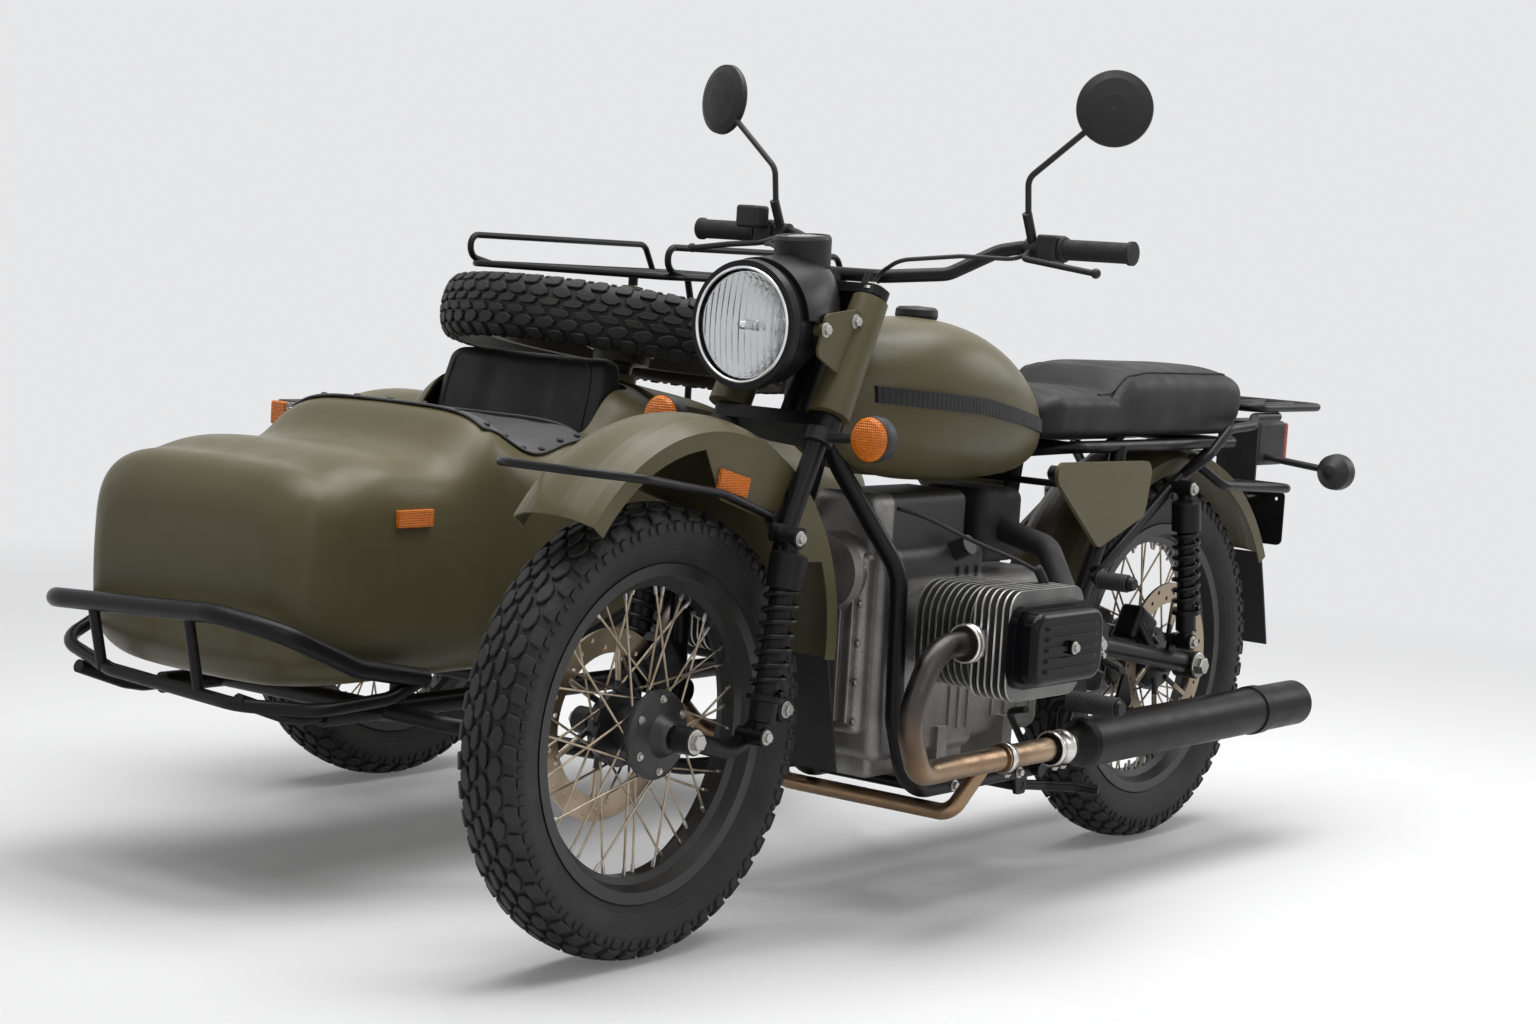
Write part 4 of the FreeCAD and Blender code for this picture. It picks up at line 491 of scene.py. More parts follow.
def lens(name, color, pitch, clear=0.0):
    """A moulded lens with small crossing flutes whose hollows are darkened as painted shade where it isn't clear;
    clear is how much light goes through it.
    """
    f = Finish(name, color, 0.2, Transmission_Weight=clear, IOR=1.49, Coat_Weight=0.25, Specular_IOR_Level=0.3)
    x, y, z = f.places(0, 1, 2)
    height = f.math("ADD", *(f.math("ABSOLUTE", f.waves(way, pitch)) for way in (f.math("ADD", x, y), z)))
    f.bump(height, 0.0012, 0.8)
    # Darker in the flutes' hollows: painted shade.
    if clear < 0.5:
        f.set("Base Color", f.mix(f.span(height, 0.1, 1.2), (*shade(color, 0.42), 1), (*color, 1)))
    return f.material


heat = hot_steel()
black_rubber = rubber("moulded black rubber", (0.020, 0.020, 0.021), 0.66)
grip_rubber = rubber("ribbed grip rubber", (0.018, 0.018, 0.019), 0.7, 0.12, (0, 0.0062, 0.0009))
knee_rubber = rubber("ribbed tank rubber", (0.016, 0.016, 0.017), 0.62, 0.12, (1, 0.009, 0.0012))
seat_vinyl = vinyl()
cover_canvas = canvas()
black_plastic = plastic()
bright = chrome("bright plating")
zinc = chrome("zinc plated steel", (0.44, 0.43, 0.40), 0.28)
clamp_metal = chrome("bright clamp steel", (0.66, 0.64, 0.60), 0.2)
orange = lens("ribbed orange lens", (0.86, 0.21, 0.002), 0.0078)
red = lens("ribbed red lens", (0.50, 0.012, 0.008), 0.009)
clear_lens = lens("ribbed clear lens", (0.92, 0.93, 0.94), 0.008, 0.9)
mirror_face = chrome("mirror glass", (0.86, 0.88, 0.90), 0.02)


def axle_turn(lean):
    """How a wheel modelled with its axis along X is turned: not at all on an axle, else upwards, leaning back."""
    if lean is None:
        return Matrix.Identity(3)
    return Vector((1, 0, 0)).rotation_difference(Vector((0, math.sin(lean), math.cos(lean)))).to_matrix()


def wheel_place(f, centre, lean):
    """Distances from a wheel's midplane and from its axis."""
    mapped = f.node("ShaderNodeMapping", {"Vector": f.place(), "Location": tuple(centre),
                                          "Rotation": tuple(axle_turn(lean).to_euler())},
                    vector_type="TEXTURE").outputs[0]
    x, y, z = f.places(0, 1, 2, of=mapped)
    return f.math("ABSOLUTE", x), f.length(y, z)


def wheel_finish(name, centre, lean):
    """A wire wheel's finishes by distance from its axis: black rim and hub, brownish spokes, worn brake disc."""
    f = Finish(name, (0.40, 0.33, 0.25), 0.3, 1.0)
    side, far = wheel_place(f, centre, lean)
    painted = f.math("MAXIMUM", f.math("GREATER_THAN", far, 0.2165), f.math("LESS_THAN", far, 0.0688))
    disc = f.math("MULTIPLY", f.math("GREATER_THAN", side, 0.0585),
                  f.math("MULTIPLY", f.math("GREATER_THAN", far, 0.106), f.math("LESS_THAN", far, 0.15)))
    swept = f.math("MULTIPLY", disc, f.span(f.waves(far, 0.00241661), -1, 1, 0.25, 0.75))
    f.set("Base Color", f.mix(f.patches(40.0), (0.30, 0.24, 0.17, 1), (0.48, 0.41, 0.32, 1)))
    f.tint(disc, (0.30, 0.22, 0.14))
    f.tint(swept, (0.42, 0.36, 0.28))
    f.tint(painted, (0.013, 0.013, 0.014))
    f.dust(0.15, (0.18, 0.16, 0.13))
    f.set("Metallic", f.math("SUBTRACT", 1.0, painted))
    f.set("Roughness", f.span(painted, 0, 1, 0.3, 0.38))
    f.grain(500.0, 0.05, edge=0.0004)
    return f.material


def tyre_finish(name, centre, lean):
    """Tyre rubber with moulded rings on its walls and dust worked into it."""
    f = Finish(name, (0.022, 0.022, 0.023), 0.58, Specular_IOR_Level=0.3)
    far = wheel_place(f, centre, lean)[1]
    wall = f.math("MULTIPLY", f.span(far, 0.262, 0.266), f.span(far, 0.292, 0.288))
    rings = f.math("MULTIPLY", f.span(f.waves(far, 0.0065), 0.2, 0.9), wall)
    f.bump(f.math("ADD", rings, f.math("MULTIPLY", f.noise(260.0), 0.5)), 0.0007, 0.8)
    f.set("Base Color", f.mix(f.patches(16.0), (0.014, 0.014, 0.015, 1), (0.030, 0.029, 0.028, 1)))
    f.dust(0.12, (0.11, 0.10, 0.09))
    return f.material


# Finishes of the CAD nodes

FINISHES = {
    olive: ["fuel_tank", "side_covers", "rear_fender", "sidecar_body", "sidecar_fender", "fork_covers",
            "front_fender", "trunk_lid"],
    black: ["main_frame", "rear_rack", "plate_bracket", "swing_arm", "rear_shocks", "foot_controls",
            "sidecar_chassis", "sidecar_bumper", "fork", "fork_shocks", "fender_guard", "handlebar",
            "luggage_rack", "centre_stand", "headlamp_bucket", "headlamp_cowl"],
    gloss_black: ["valve_covers"],
    cast: ["engine_case"], fins: ["cylinders"], heat: ["exhaust_headers"], muffler: ["mufflers"],
    black_rubber: ["intake_system", "rear_mud_flap", "front_mud_flap"], knee_rubber: ["tank_rubbers"],
    grip_rubber: ["grips"],
    black_plastic: ["fuel_cap", "tail_lamp", "marker_lamp", "instrument_pod", "hand_controls", "mirrors",
                    "front_signals"],
    orange: ["orange_lenses", "front_orange_lenses"], red: ["tail_lens"], clear_lens: ["marker_lens_clear"],
}


def dress(node, material):
    """Gives a CAD node one material; its shape stays as it is."""
    mesh = NODES[node].data
    mesh.materials.clear()
    mesh.materials.append(material)


for finish, names in FINISHES.items():
    for node_name in names:
        dress(node_name, finish)


# Bolts

def bolts(name, body, places):
    """Hexagon bolts on washers; places are (place, axis, radius in mm), each head standing on its place."""
    where = np.array([at(*p) for p, _, _ in places])
    turns = turns_to([a for _, a, _ in places])
    size = np.array([r for _, _, r in places], float)[:, None, None] / 1000
    head = stack(polygon(6, 1.0), [(-0.1, 1), (0.78, 1), (0.95, 0.86)])
    washer = stack(polygon(20, 1.45), [(-0.2, 1), (0.14, 1), (0.2, 0.93)])
    parts = [copies(*head, turns * size, where), copies(*washer, turns * size, where)]
    return piece(name, *joined(parts), body, zinc, "bright_chrome", False)


def both(*rows):
    """The same bolts on both sides, their heads outwards; rows are (x, y, z, radius)."""
    return [((s * x, y, z), (s, 0, 0), radius) for x, y, z, radius in rows for s, _ in SIDES]


# Wheels: tyres with their tread, spoke nipples and hub bolts

TYRE_R = 345.0
TREAD = 6.5
WALL = [(0.0, TYRE_R - TREAD), (20.0, 336.8), (40.0, 331.8), (53.0, 320.5), (56.4, 304.0), (53.6, 283.0),
        (43.5, 264.5), (33.4, 256.8), (31.6, 244.0)]
HALF = smooth_curve(WALL)
REACH = np.concatenate([[0], np.cumsum(np.linalg.norm(np.diff(HALF, axis=0), axis=1))])
SLOPE = np.gradient(HALF, REACH, axis=0)
PITCHES = 48
# outlines of the blocks in one pitch: (across, around) of the middle, half sizes, slant, lift, corner cut
BLOCKS = [(8.6, 0.0, 6.4, 17.0, 3.0, TREAD, 0.45), (27.0, 0.42, 9.4, 17.5, -3.0, TREAD, 0.6),
          (47.0, 0.92, 8.6, 14.0, 2.5, TREAD, 0.3), (65.0, 0.92, 7.4, 8.6, 1.0, 3.4, 0.35),
          (65.0, 0.42, 6.0, 5.0, 0.0, 2.6, 0.5)]


def wall_point(across, around, lift):
    """A point on the tyre: across is the distance along its section from the middle of the tread,
    around the distance round the crown, lift the height above the carcass along its normal."""
    reach = np.abs(across)
    x, r, tx, tr = (np.interp(reach, REACH, line) for line in (*HALF.T, *SLOPE.T))
    long = np.hypot(tx, tr)
    x, r, a = x - lift * tr / long, r + lift * tx / long, around / TYRE_R
    return np.stack(np.broadcast_arrays(np.sign(across + 1e-9) * x, r * np.cos(a), r * np.sin(a)), -1) / 1000


def tread_blocks():
    """All blocks of the tread: eight-cornered prisms laid on the carcass, staggered left to right."""
    pitch = 2 * math.pi * TYRE_R / PITCHES
    k = np.arange(PITCHES)[:, None]
    parts = []
    for across, phase, half_a, half_t, slant, lift, cut in BLOCKS:
        shape = np.array([(-1, cut - 1), (cut - 1, -1), (1 - cut, -1), (1, cut - 1), (1, 1 - cut), (1 - cut, 1),
                          (cut - 1, 1), (-1, 1 - cut)]) * (half_a, half_t)
        shape[:, 1] += shape[:, 0] / half_a * slant
        flat, tris = stack(shape, [(-1.5, 1.06), (lift - 1.4, 1.0), (lift, 0.88)])
        faces = tris + k[:, :, None] * len(flat)
        for side, stagger in ((1, 0), (-1, 0.5)):
            around = flat[:, 1] + (phase + stagger + k) * pitch
            verts = wall_point(side * (across + flat[:, 0]), around, flat[:, 2])
            parts.append((verts.reshape(-1, 3), faces.reshape(-1, 3)))
    return joined(parts)


def carcass(around=120):
    """The tyre's body: its section swept round the axle, closed inside between the beads."""
    turn = circle(around)[:, None]
    x, r = np.concatenate([HALF[::-1] * (-1, 1), HALF[1:]]).T
    rings = np.stack(np.broadcast_arrays(x, r * np.cos(turn), r * np.sin(turn)), -1)
    return closed_loft(np.concatenate([rings, rings[:1]]) / 1000)


TREAD_BLOCKS = tread_blocks()
TYRE_V, TYRE_F = joined([TREAD_BLOCKS, carcass()])
NIPPLES, HUB_BOLTS = 40, 6
RIM_SEAT_R, FLANGE_R, FLANGE_X, HUB_FACE_X = 217.5, 54.0, 31.0, 48.6
SPOKE_TURN = math.radians(52.0)
SPARE_LEAN = math.radians(9.0)


def wheel_dressing(kind, body, centre, hub_side, lean=None):
    """One wheel's tyre, its spokes' nipples and its hub bolts, turned onto its axle."""
    turn, middle = np.array(axle_turn(lean)), at(*centre)
    tyre = piece(kind + "_tyre_tread", TYRE_V @ turn.T + middle, TYRE_F, body,
                 tyre_finish(kind + " tyre rubber", middle, lean), "tyre_rubber",
                 np.arange(len(TYRE_F)) >= len(TREAD_BLOCKS[1]))
    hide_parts(kind + "_tyre")
    dress(kind + "_wheel", wheel_finish(kind + " wheel finish", middle, lean))
    k = np.arange(NIPPLES)
    side, lead = np.where(k % 2, 1, -1), np.where((k // 2) % 2, 1, -1)
    a = 2 * np.pi * (k + 0.5) / NIPPLES
    b = a + lead * SPOKE_TURN
    rim = np.stack([side * 6.0, RIM_SEAT_R * np.cos(a), RIM_SEAT_R * np.sin(a)], 1)
    hub = np.stack([side * (FLANGE_X + lead * 3.6), FLANGE_R * np.cos(b), FLANGE_R * np.sin(b)], 1)
    v, f = copies(*stack(polygon(8, 0.0031), [(-0.003, 1), (0.009, 1), (0.012, 0.7)]),
                  turn @ turns_to(hub - rim), rim / 1000 @ turn.T + middle)
    piece(kind + "_nipples", v, f, body, zinc, "wheel_steel", False)
    c = circle(HUB_BOLTS) + math.pi / HUB_BOLTS
    heads = np.stack([np.full(HUB_BOLTS, hub_side * HUB_FACE_X), FLANGE_R * np.cos(c), FLANGE_R * np.sin(c)], 1)
    bolts(kind + "_hub_bolts", body, [(p, hub_side * turn[:, 0], 4.6) for p in heads @ turn.T + centre])


wheel_dressing("front", "front_wheel", (0, 0, TYRE_R), 1)
wheel_dressing("rear", "rear_wheel", (0, 1470, TYRE_R), -1)
wheel_dressing("sidecar", "sidecar_wheel", (-1240, 720, TYRE_R), -1)
wheel_dressing("spare", "trunk_lid", (-740, 790, 897), 1, SPARE_LEAN)


# Small fittings

bolts("fork_bolts", "steering",
      both((124, 205, 376, 9), (147, 129, 344, 8), (147, 182, 642, 8), (114, 0, TYRE_R, 13), (111.2, 262, 955, 8),
           (111.2, *steer_point(150, 78)[1:], 8), (107.2, 236, 634, 6))
      + [(steer_point(219, 46, s * 96), STEM_AXIS, 13) for s, _ in SIDES] + [(steer_point(225), STEM_AXIS, 15)])
bolts("frame_bolts", "chassis",
      both((153, 1410, 395, 8), (153, 1369, 682, 8), (138.5, 1099, 412, 11), (127.2, 680, 205, 7),
           (127.2, 880, 205, 7), (386, CYLINDER_Y, CYLINDER_Z, 7), (138.5, 1060, 446, 6), (138.5, 1110, 392, 6))
      + [((134.2, 1470, TYRE_R), (1, 0, 0), 17), ((-126.2, 1470, TYRE_R), (-1, 0, 0), 15),
         ((-1326, 720, TYRE_R), (-1, 0, 0), 12), ((-1110, 590, 640), (-1, 0, 0), 8),
         ((-1080, 660, 358), (1, 0, 0), 8)]
      + [((x, 469.6, z), (0, -1, 0), 4.4) for x in (-60, 60) for z in (322, 386, 450, 514, 572)])


def exhaust_fittings():
    """On each side a wide and a narrow clamp with their bolts, and the grooved nut at the head."""
    wide = [(0, 26.2), (0, 29), (3, 30.2), (9, 30.2), (11, 29), (33, 29), (35, 30.2), (41, 30.2), (44, 29),
            (44, 26.2)]
    narrow = [(0, 24.2), (0, 26), (14, 26), (14, 24.2)]
    nut = [(0, 27.2), (0, 29.5), (2, 31.5), (7, 31.5), (8.5, 29.8), (11, 29.8), (12.5, 31.5), (19, 31.5),
           (21, 29.8), (21, 27.2)]
    heads = []
    for side, label in SIDES:
        for name, ring, x, y, z in (("wide_clamp_", wide, MUFFLER_X, 843, MUFFLER_Z),
                                    ("narrow_clamp_", narrow, MUFFLER_X, 696, MUFFLER_Z),
                                    ("port_nut_", nut, PORT_X, 468.4, CYLINDER_Z)):
            lathe(name + label, ring + ring[:1], (side * x, y, z), (0, 1, 0), "chassis", clamp_metal,
                  "bright_chrome")
        heads += [((side * (MUFFLER_X + 8), y, z), (0, 0, -1), 5) for y, z in ((852, 231), (878, 231), (703, 235))]
    bolts("clamp_bolts", "chassis", heads)


def engine_fittings():
    """Plug leads with their boots, and the ribbed rubbers of the pegs."""
    lead = [(100, 500, 672), (150, 512, 664), (205, 560, 628), (258, 626, 600), (279, 650, 582)]
    boot = [(277, 648, 590), (282, 656, 576), (286, 662, 561)]
    for name, path, radius, around, steps in (("plug_leads", lead, 3.6, 10, 6), ("plug_boots", boot, 8.0, 16, 4)):
        pipes(name, [[(s * x, y, z) for x, y, z in path] for s, _ in SIDES], radius, "chassis", black_rubber,
              "black_rubber", around, steps)
    for s, label in SIDES:
        for name, place, count, bore, outer in (("peg_rubber_", (s * 178, 935, 334), 16, 15.2, 18.2),
                                                ("rest_rubber_", (s * 165, 1025, 536), 10, 13.2, 15.6)):
            ribs = (np.arange(count)[:, None] * 6.0 + (5.5, 6.6, 9.8, 10.9)).ravel()
            high = np.tile((outer - 1.5, outer, outer, outer - 1.5), count)
            edge = [[ribs[0] - 1, bore], *np.column_stack([ribs, high]), [ribs[-1] + 1, bore], [ribs[0] - 1, bore]]
            lathe(name + label, edge, place, (s, 0, 0), "chassis", black_rubber, "black_rubber", 32)


def carburettors():
    """A cast body, float bowl and cap on each intake elbow."""
    bowl = [(-54, 0.3), (-54, 15), (-46, 23), (-20, 25), (-12, 25), (-12, 0.3)]
    cap = [(12, 0.3), (12, 24), (34, 24), (36, 26), (44, 26), (52, 18), (53, 0.3)]
    body = [(-26, 0.3), (-26, 29), (-20, 31), (20, 29), (26, 27), (26, 0.3)]
    for side, label in SIDES:
        middle = (side * PORT_X, 762, 499)
        lathe("carburettor_bowl_" + label, bowl, middle, (0, 0, 1), "chassis", cast, "cast_metal", 32)
        lathe("carburettor_cap_" + label, cap, middle, (0, 0, 1), "chassis", black_plastic, "black_plastic", 32)
        lathe("carburettor_body_" + label, body, middle, (0, 1, 0), "chassis", cast, "cast_metal", 40)


DIAL, DIAL_AXIS = (0, 341, 1040), (0, -0.0995, 0.995)
DIAL_FACE, DIAL_R, DIAL_MARKS = 53.9, 36, 28


def on_dial(verts):
    """Points given across and above the instrument, carried onto it."""
    return verts @ turns_to([DIAL_AXIS])[0].T / 1000 + at(*DIAL)


def dial():
    """The pod's instrument: black face with pale marks, a red needle and a dark ring round its glass."""
    def turned(name, profile, material, slot, around):
        lathe(name, profile, DIAL, DIAL_AXIS, "steering", material, slot, around)

    turned("dial_face", [(53.1, 0.3), (53.1, 39.5), (DIAL_FACE, 39.5), (DIAL_FACE, 0.3)], black_plastic,
           "black_plastic", 48)
    turned("dial_ring", [(54, 38.5), (54, 43.5), (57.4, 43), (57.8, 40.5), (57, 38.5), (54, 38.5)], black_plastic,
           "black_plastic", 64)
    angle = np.radians(np.linspace(-225, 45, DIAL_MARKS))
    c, s, none = np.cos(angle), np.sin(angle), np.zeros(DIAL_MARKS)
    long = np.where(np.arange(DIAL_MARKS) % 3 == 0, 6.0, 3.0)
    bar, bar_faces = stack(np.array([(-1, -1), (1, -1), (1, 1), (-1, 1)]) * 0.5, [(0, 1), (0.5, 1)])
    spin = np.moveaxis(np.array([[c * long, -s, none], [s * long, c, none], [none, none, none + 1]]), 2, 0)
    radius = DIAL_R - long / 2
    v, f = copies(bar, bar_faces, spin, np.stack([radius * c, radius * s, none + DIAL_FACE], 1))
    pale = Finish("dial marks", (0.8, 0.8, 0.78), 0.5).material
    piece("dial_marks", on_dial(v), f, "steering", pale, "black_plastic", False)
    needle_red = Finish("needle red", (0.7, 0.03, 0.01), 0.4).material
    piece("dial_needle", on_dial(bar * (30, 1.6, 1.2) + (12, 0, 54.6)), bar_faces, "steering", needle_red,
          "red_lens", False)
    clear = Finish("dial glass", (0.97, 0.98, 0.98), 0.02, Transmission_Weight=1.0, IOR=1.45).material
    turned("dial_glass", [(55.8, 0.3), (55.8, 39), (56.6, 39), (57.2, 20), (57.4, 0.3)], clear, "lamp_glass", 48)


exhaust_fittings()
engine_fittings()
carburettors()
dial()


# Headlamp and mirrors

def headlamp(reach=84):
    """The reflector bowl with its bulb, the front glass with flutes behind it, and the bright ring."""
    def turned(name, profile, material, around):
        lathe(name, profile, HEADLAMP, (0, 1, 0), "steering", material, "bright_chrome", around)

    r = np.linspace(12, 82, 24)
    bowl = np.column_stack([19.4 - 13 * (r / 82) ** 2, r])
    turned("headlamp_reflector", np.concatenate([[(19.6, 0.5)], bowl, bowl[::-1] + (0.4, 0.3)]),
           chrome("lamp reflector", (0.62, 0.63, 0.64), 0.06), 72)
    r = np.linspace(0.5, reach, 40)[:, None]
    x, z = r * np.cos(circle(180)), r * np.sin(circle(180))
    dome = np.broadcast_to(-9 + 13 * (r / reach) ** 2, x.shape)
    flutes = 1.5 * np.abs(np.sin(x / 12.0 * np.pi)) * (r < 80)
    rings = np.concatenate([np.stack([x, dome, z], -1), np.stack([x, dome + 3.2 + flutes, z], -1)[::-1]])
    clear = Finish("headlamp glass", (0.97, 0.98, 0.98), 0.03, Transmission_Weight=1.0, IOR=1.45).material
    glass = piece("headlamp_front_glass", *closed_loft(rings / 1000 + at(*HEADLAMP)), "steering", clear,
                  "lamp_glass")
    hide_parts("headlamp_glass")
    turned("headlamp_ring", [(-0.2, 85), (-3, 85.4), (-3.8, 87), (-3, 89.5), (-0.2, 90.5), (-0.2, 85)], bright, 96)
    turned("headlamp_bulb", [(-4, 0.3), (-3, 6), (6, 8), (16, 8), (19, 5), (19, 0.3)], bright, 24)


def mirror_faces():
    """A glass on the rider's side of each mirror, whose back looks forwards and outwards."""
    for (side, label), swing in zip(SIDES, (30.0, 16.0)):
        swung = math.radians(swing)
        way = Vector((side * math.sin(swung), -math.cos(swung), 0.06)).normalized()
        lathe("mirror_glass_" + label, [(-8.4, 0.3), (-8.4, 54), (-7.6, 54.4), (-7.6, 0.3)],
              (side * 388, 601, 1322), tuple(way), "steering", mirror_face, "bright_chrome", 48)


headlamp()
mirror_faces()


# Soft goods

def squared(turn, power):
    """A unit superellipse: cosine and sine with their size raised to 2 / power."""
    c, s = np.cos(turn), np.sin(turn)
    return np.sign(c) * np.abs(c) ** (2 / power), np.sign(s) * np.abs(s) ** (2 / power)


def table(values, y):
    """A value eased through a table of (place, value)."""
    v = np.array(values, float)
    k = np.clip(np.searchsorted(v[:, 0], y) - 1, 0, len(v) - 2)
    t = np.clip((y - v[k, 0]) / (v[k + 1, 0] - v[k, 0]), 0, 1)
    t = t * t * (3 - 2 * t)
    return v[k, 1] * (1 - t) + v[k + 1, 1] * t


def end_round(y, low, high, radius):
    """How far a rounded end pulls in: the gap of a circle of that radius."""
    d = np.clip(radius - np.minimum(y - low, high - y), 0, radius)
    return radius - np.sqrt(np.maximum(radius ** 2 - d ** 2, 0))


def ends_close(low, high, radius, count):
    """Places from low to high, closer together in both rounded ends."""
    bend = radius * (1 - np.cos(np.linspace(0, np.pi / 2, 7)))
    return np.concatenate([low + bend, np.linspace(low + radius, high - radius, count)[1:-1], (high - bend)[::-1]])


def sections(half, low, high, power, around):
    """Superellipses of the given half widths between low and high, one for each row: how far each point lies
    across, how high, and its height from the middle as a share of the half height."""
    c, s = squared(circle(around), power)
    return half[:, None] * c, (high + low)[:, None] / 2 + (high - low)[:, None] / 2 * s, s


def channel(v, place, width):
    """A sewn channel's depth, one at its place and falling off as exp(-(distance / width)^2)."""
    return np.exp(-((v - place) / width) ** 2)


def padding(name, x, y, z):
    """A closed padded piece of vinyl from its rows of points in mm."""
    rings = np.stack(np.broadcast_arrays(x, y, z), -1) / 1000 + SHIFT
    return piece(name, *closed_loft(rings), "chassis", seat_vinyl, "black_vinyl")


def seat(front=899, rear=1585, bottom=772, bend=26):
    """The stepped seat: rounded sections along y between the seat's base and its eased top line, pressed in
    along the sewn channels, and crowned across."""
    y = ends_close(front, rear, bend, 96)
    inset = end_round(y, front, rear, bend)
    half = table([(899, 112), (960, 126), (1140, 128), (1230, 135), (1540, 134), (1585, 128)], y) - inset
    top = table([(899, 850), (950, 864), (1085, 862), (1120, 864), (1185, 900), (1240, 906), (1500, 904),
                 (1585, 892)], y) - inset
    low = bottom + inset
    x, z, s = sections(half, low, top, 3.8, 72)
    up, along = np.clip(s, 0, 1), y[:, None]
    for seam in (940, 1000, 1060):
        z = z - 5.0 * channel(along, seam, 6.0) * up * np.clip((112 - np.abs(x)) / 14, 0, 1)
    z = z - 7.0 * channel(along, 1128, 9.0) * up
    z = z - 3.5 * (1 - np.cos(x / 135 * np.pi / 2)) * up
    pad = padding("dual_seat_padding", x * (1 - 0.045 * channel(z, 800, 20.0)), along, z)
    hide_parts("dual_seat")
    k = np.linspace(30, len(y) - 12, 40).astype(int)
    rise = (low + top) / 2 + (top - low) / 2 * 0.83 - 1.5
    pipes("seat_piping", [np.column_stack([s * half * 0.836, y, rise])[k] for s, _ in SIDES], 2.6, "chassis",
          seat_vinyl, "black_vinyl", 8, 2)


def cushion(front=296, rear=500, bend=22):
    """The sidecar's seat cushion: a crowned box with two sewn channels."""
    y = ends_close(front, rear, bend, 40)
    inset = end_round(y, front, rear, bend)
    x, z, s = sections(186 - inset, 430.3 + inset, 530 - inset, 5.0, 96)
    up = np.clip(s, 0, 1)
    for seam in (-62, 62):
        z = z - 7 * channel(x, seam, 6.0) * up
    z = z - 5 * (1 - np.cos(x / 186 * np.pi / 2)) * up
    pad = padding("sidecar_cushion_padding", x + SIDECAR_X, y[:, None], z)
    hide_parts("sidecar_cushion")


def backrest(foot=530.5, head=860, bend=20):
    """The sidecar's backrest: level sections between its sloping front and the bulkhead, with two upright sewn
    channels and one across."""
    z = ends_close(foot, head, bend, 60)
    inset = end_round(z, foot, head, bend)
    front = np.interp(z, [530, 700, 860], [432, 478, 524]) + inset
    back = np.interp(z, [530, 700, 860], [530, 588, 589]) - inset * 0.6
    half = np.interp(z, [530, 700, 800, 860], [194, 196, 194, 184]) - inset
    x, y, s = sections(half, front, back, 5.0, 110)
    ahead = np.clip(-s, 0, 1)
    for seam in (-72, 72):
        y = y + 6 * channel(x, seam, 5.0) * ahead
    y = y + 8 * channel(z[:, None], 700, 7.0) * ahead * np.clip((182 - np.abs(x)) / 12, 0, 1)
    pad = padding("sidecar_backrest_padding", x + SIDECAR_X, y, z[:, None])
    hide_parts("sidecar_backrest")
    k = np.linspace(10, len(z) - 5, 24).astype(int)
    rise = np.column_stack([0.872 * half, (front + back) / 2 - 0.872 * (back - front) / 2, z])[k]
    over = [(x, rise[-1, 1] + 6, 854) for x in (130, 60, 0, -60, -130)]
    edge = np.concatenate([rise, over, rise[::-1] * (-1, 1, 1)]) + (SIDECAR_X, 0, 0)
    pipes("backrest_piping", [edge], 3.0, "chassis", seat_vinyl, "black_vinyl", 8, 3)


KEEL = [(-245, 352), (-190, 340), (-60, 330), (1100, 330), (1200, 336), (1300, 350)]
BEAM = [(-245, 246), (-190, 258), (-60, 268), (700, 268), (1180, 258), (1300, 246)]
BODY_POWER = 4.6


def section(x, y):
    """The body's underside, and how full its superellipse section is at a place, from 0 to 1."""
    low, half = (np.interp(y, *np.array(line, float).T) for line in (KEEL, BEAM))
    return low, np.clip(1 - np.abs((x - SIDECAR_X) / half) ** BODY_POWER, 0, 1) ** (1 / BODY_POWER)


def cover_crest(degree=9):
    """The cover's middle line by y: each upper vertex of its mesh is carried to the middle by its section, which
    solves z = low + (high - low)(1 + full) / 2 for high, and a polynomial in y is fitted through these heights."""
    mesh = NODES["tonneau_cover"].data
    spots, ways = np.empty((2, 3 * len(mesh.vertices)))
    mesh.vertices.foreach_get("co", spots)
    mesh.vertices.foreach_get("normal", ways)
    x, y, z = ((spots.reshape(-1, 3) - SHIFT) * 1000)[ways.reshape(-1, 3)[:, 2] > 0.6].T
    low, full = section(x, y)
    return np.polynomial.Polynomial.fit(y, (2 * z - low * (1 - full)) / (1 + full), degree)


COVER_CREST = cover_crest()


def on_cover(u, y, sunk):
    """A place by its distance from the body's midplane, sunk a little into the cover's top."""
    low, full = section(u + SIDECAR_X, y)
    return u + SIDECAR_X, y, low + (COVER_CREST(y) - low) * (1 + full) / 2 - sunk


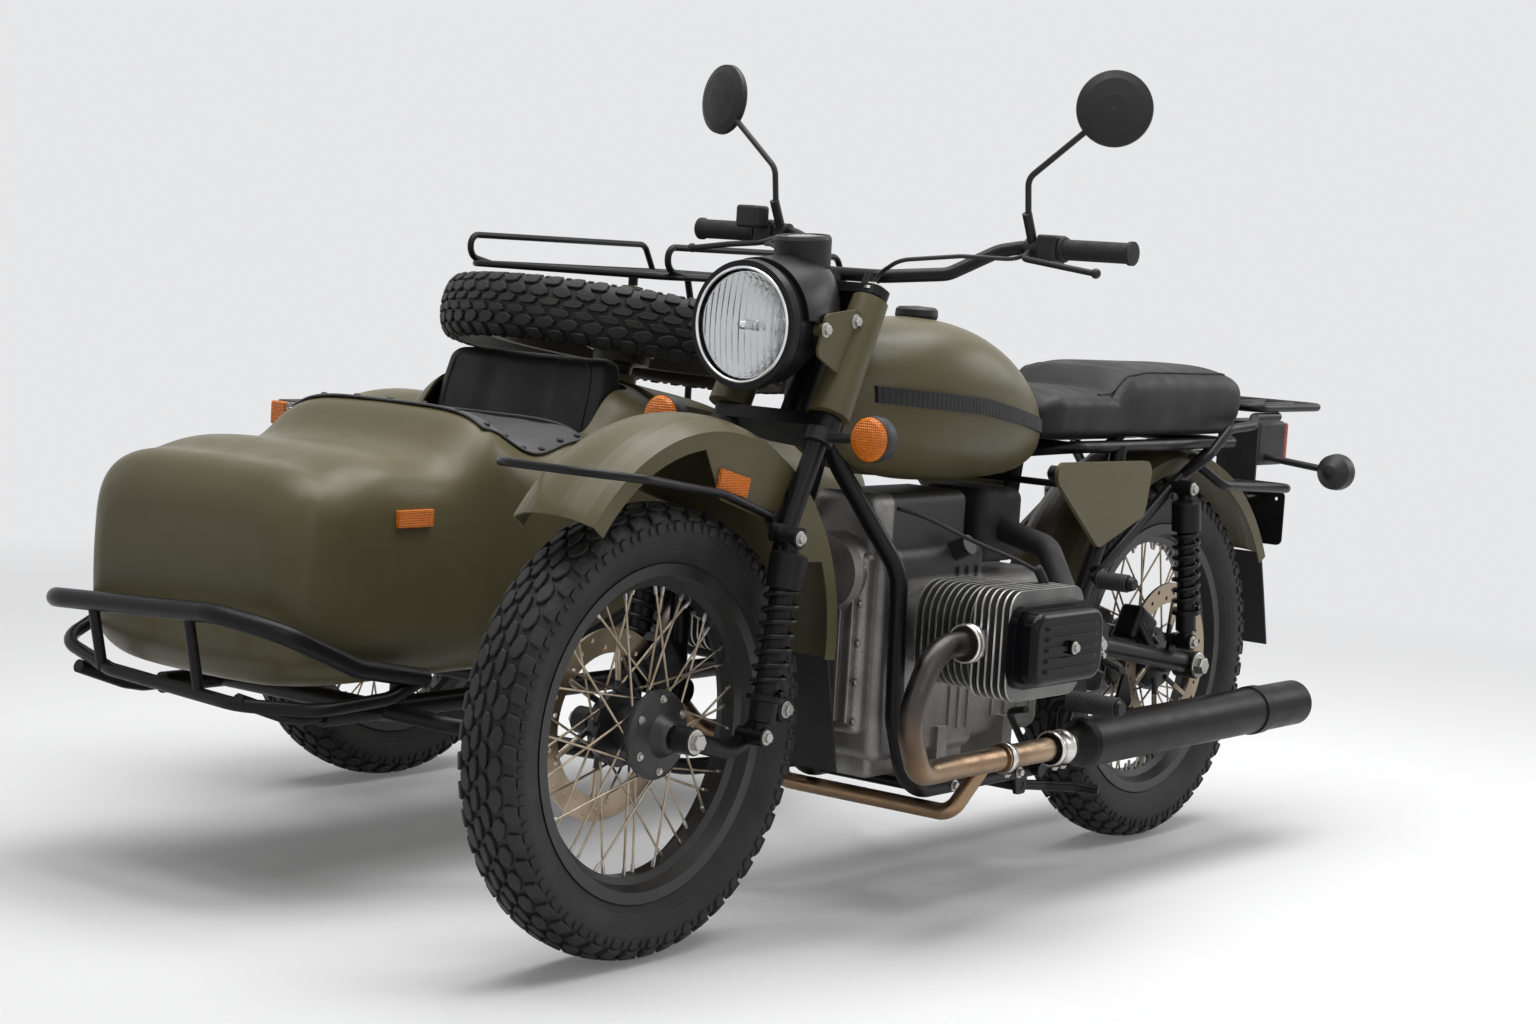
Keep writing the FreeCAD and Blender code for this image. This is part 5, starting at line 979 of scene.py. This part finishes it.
def tonneau():
    """The cockpit's cover: stretched over the deck, sagging a little over the opening, with soft pulls."""
    u, y = np.meshgrid(np.linspace(-228, 228, 90), np.linspace(190, 444, 50), indexing="ij")
    x, y, z = on_cover(u, y, 1.3)
    over = np.clip((200 - np.abs(u)) / 60, 0, 1) * np.clip((y - 212) / 60, 0, 1)
    z = z - 5 * over + 1.2 * over * np.sin(y / 13 + u / 41) + 0.8 * over * np.sin(u / 17 - y / 29)
    grid = np.stack([x, y, z], -1) / 1000 + SHIFT
    cover = piece("tonneau_cloth", grid.reshape(-1, 3), grid_faces(*u.shape), "chassis", cover_canvas,
                  "dark_canvas")
    thick = cover.modifiers.new("cloth", "SOLIDIFY")
    thick.thickness = 0.0018
    thick.offset = 0
    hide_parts("tonneau_cover")
    hems = [[(u, y) for u in np.linspace(-226, 226, 20)] for y in (191, 442)]
    hems += [[(u, y) for y in np.linspace(192, 442, 12)] for u in (-227, 227)]
    hem = pipes("tonneau_hem", [[on_cover(u, y, 0.9) for u, y in line] for line in hems], 2.4, "chassis",
                cover_canvas, "dark_canvas", 8, 3)
    rows = [(s * 219, y) for s, _ in SIDES for y in (206, 252, 298, 344, 390, 432)]
    rows += [(u, 199) for u in (-160, -80, 0, 80, 160)]
    lean = turns_to([(0.12 * np.sign(u) if abs(u) > 200 else 0, 0, 1) for u, _ in rows])
    dome = stack(polygon(14, 0.0062), [(-0.001, 1), (0.001, 1), (0.0028, 0.8), (0.0036, 0.4)])
    v, f = copies(*dome, lean, np.array([at(*on_cover(u, y, 0.5)) for u, y in rows]))
    studs = piece("tonneau_studs", v, f, "chassis", black_plastic, "black_plastic")


seat()
cushion()
backrest()
tonneau()


# Camera, lights and floor

def camera():
    """The photograph's viewpoint, with its small roll."""
    turn, rise, roll = math.radians(37.36), math.radians(5.36), math.radians(3.57)
    back = Vector((math.sin(turn) * math.cos(rise), -math.cos(turn) * math.cos(rise), math.sin(rise)))
    right = Vector((math.cos(turn), math.sin(turn), 0))
    up = back.cross(right)
    across, over = (math.cos(roll) * right + math.sin(roll) * up), (math.cos(roll) * up - math.sin(roll) * right)
    data = bpy.data.cameras.new("camera")
    data.lens, data.sensor_width, data.clip_end = 66.48, 36.0, 100.0
    made = linked("camera", data)
    made.matrix_world = Matrix.Translation(Vector(at(2683, -3224, 1078))) @ Matrix(
        (across, over, back)).transposed().to_4x4()
    bpy.context.scene.camera = made


def lamp(name, place, aim, size, power):
    """A soft rectangular studio lamp that looks at a place."""
    data = bpy.data.lights.new(name, "AREA")
    data.shape, data.size, data.size_y, data.energy = "RECTANGLE", size[0], size[1], power
    made = linked(name, data)
    made.location = place
    made.rotation_euler = (Vector(aim) - Vector(place)).to_track_quat("-Z", "Y").to_euler()


PALE = (0.80, 0.802, 0.812, 1)


def shown(t):
    """One where a ray is what the camera, metal or glass shows."""
    seen = t.node("ShaderNodeLightPath").outputs
    return t.math("MAXIMUM", t.math("MAXIMUM", seen["Is Camera Ray"], seen["Is Glossy Ray"]),
                  seen["Is Transmission Ray"])


def studio():
    """A pale floor that fades into pale surroundings, and four soft lamps."""
    f = Finish("pale floor", (0.88, 0.88, 0.885), 0.6, Specular_IOR_Level=0.1)
    f.set("Base Color", f.mix(f.patches(1.5), (0.87, 0.87, 0.875, 1), (0.89, 0.89, 0.895, 1)))
    fade = f.math("MULTIPLY", f.span(f.length(*f.places(0, 1)), 1.9, 4.6, 0.14, 1.0), shown(f))
    glow = f.node("ShaderNodeEmission", {"Color": PALE, "Strength": 1.0})
    blend = f.node("ShaderNodeMixShader", {0: fade, 1: f.shader.outputs[0], 2: glow.outputs[0]})
    f.feed(f.tree.nodes["Material Output"].inputs["Surface"], blend.outputs[0])
    rim = polygon(64, 30)
    mesh = bpy.data.meshes.new("floor")
    mesh.from_pydata([(x, y, 0) for x, y in rim.tolist()], [], [range(len(rim))])
    mesh.materials.append(f.material)
    linked("floor", mesh)
    world = bpy.data.worlds.new("studio")
    world.use_nodes = True
    t = Tree(world.node_tree)
    background = t.tree.nodes["Background"]
    t.feed(background.inputs["Color"], PALE)
    t.feed(background.inputs["Strength"], t.span(shown(t), 0, 1, 0.13, 1.0))
    bpy.context.scene.world = world
    lamp("key", (-0.3, -1.8, 5.0), (0, -0.1, 0.5), (3.0, 2.4), 95)
    lamp("top", (0.6, 0.8, 4.8), (0, 0.1, 0.4), (4.0, 3.4), 215)
    lamp("fill", (4.6, -2.0, 2.6), (0.4, 0.1, 0.6), (2.6, 2.6), 20)
    lamp("edge", (2.6, 4.6, 3.0), (0.2, 0.3, 0.6), (2.4, 2.4), 60)


camera()
studio()
bpy.context.scene.view_settings.view_transform = "Standard"
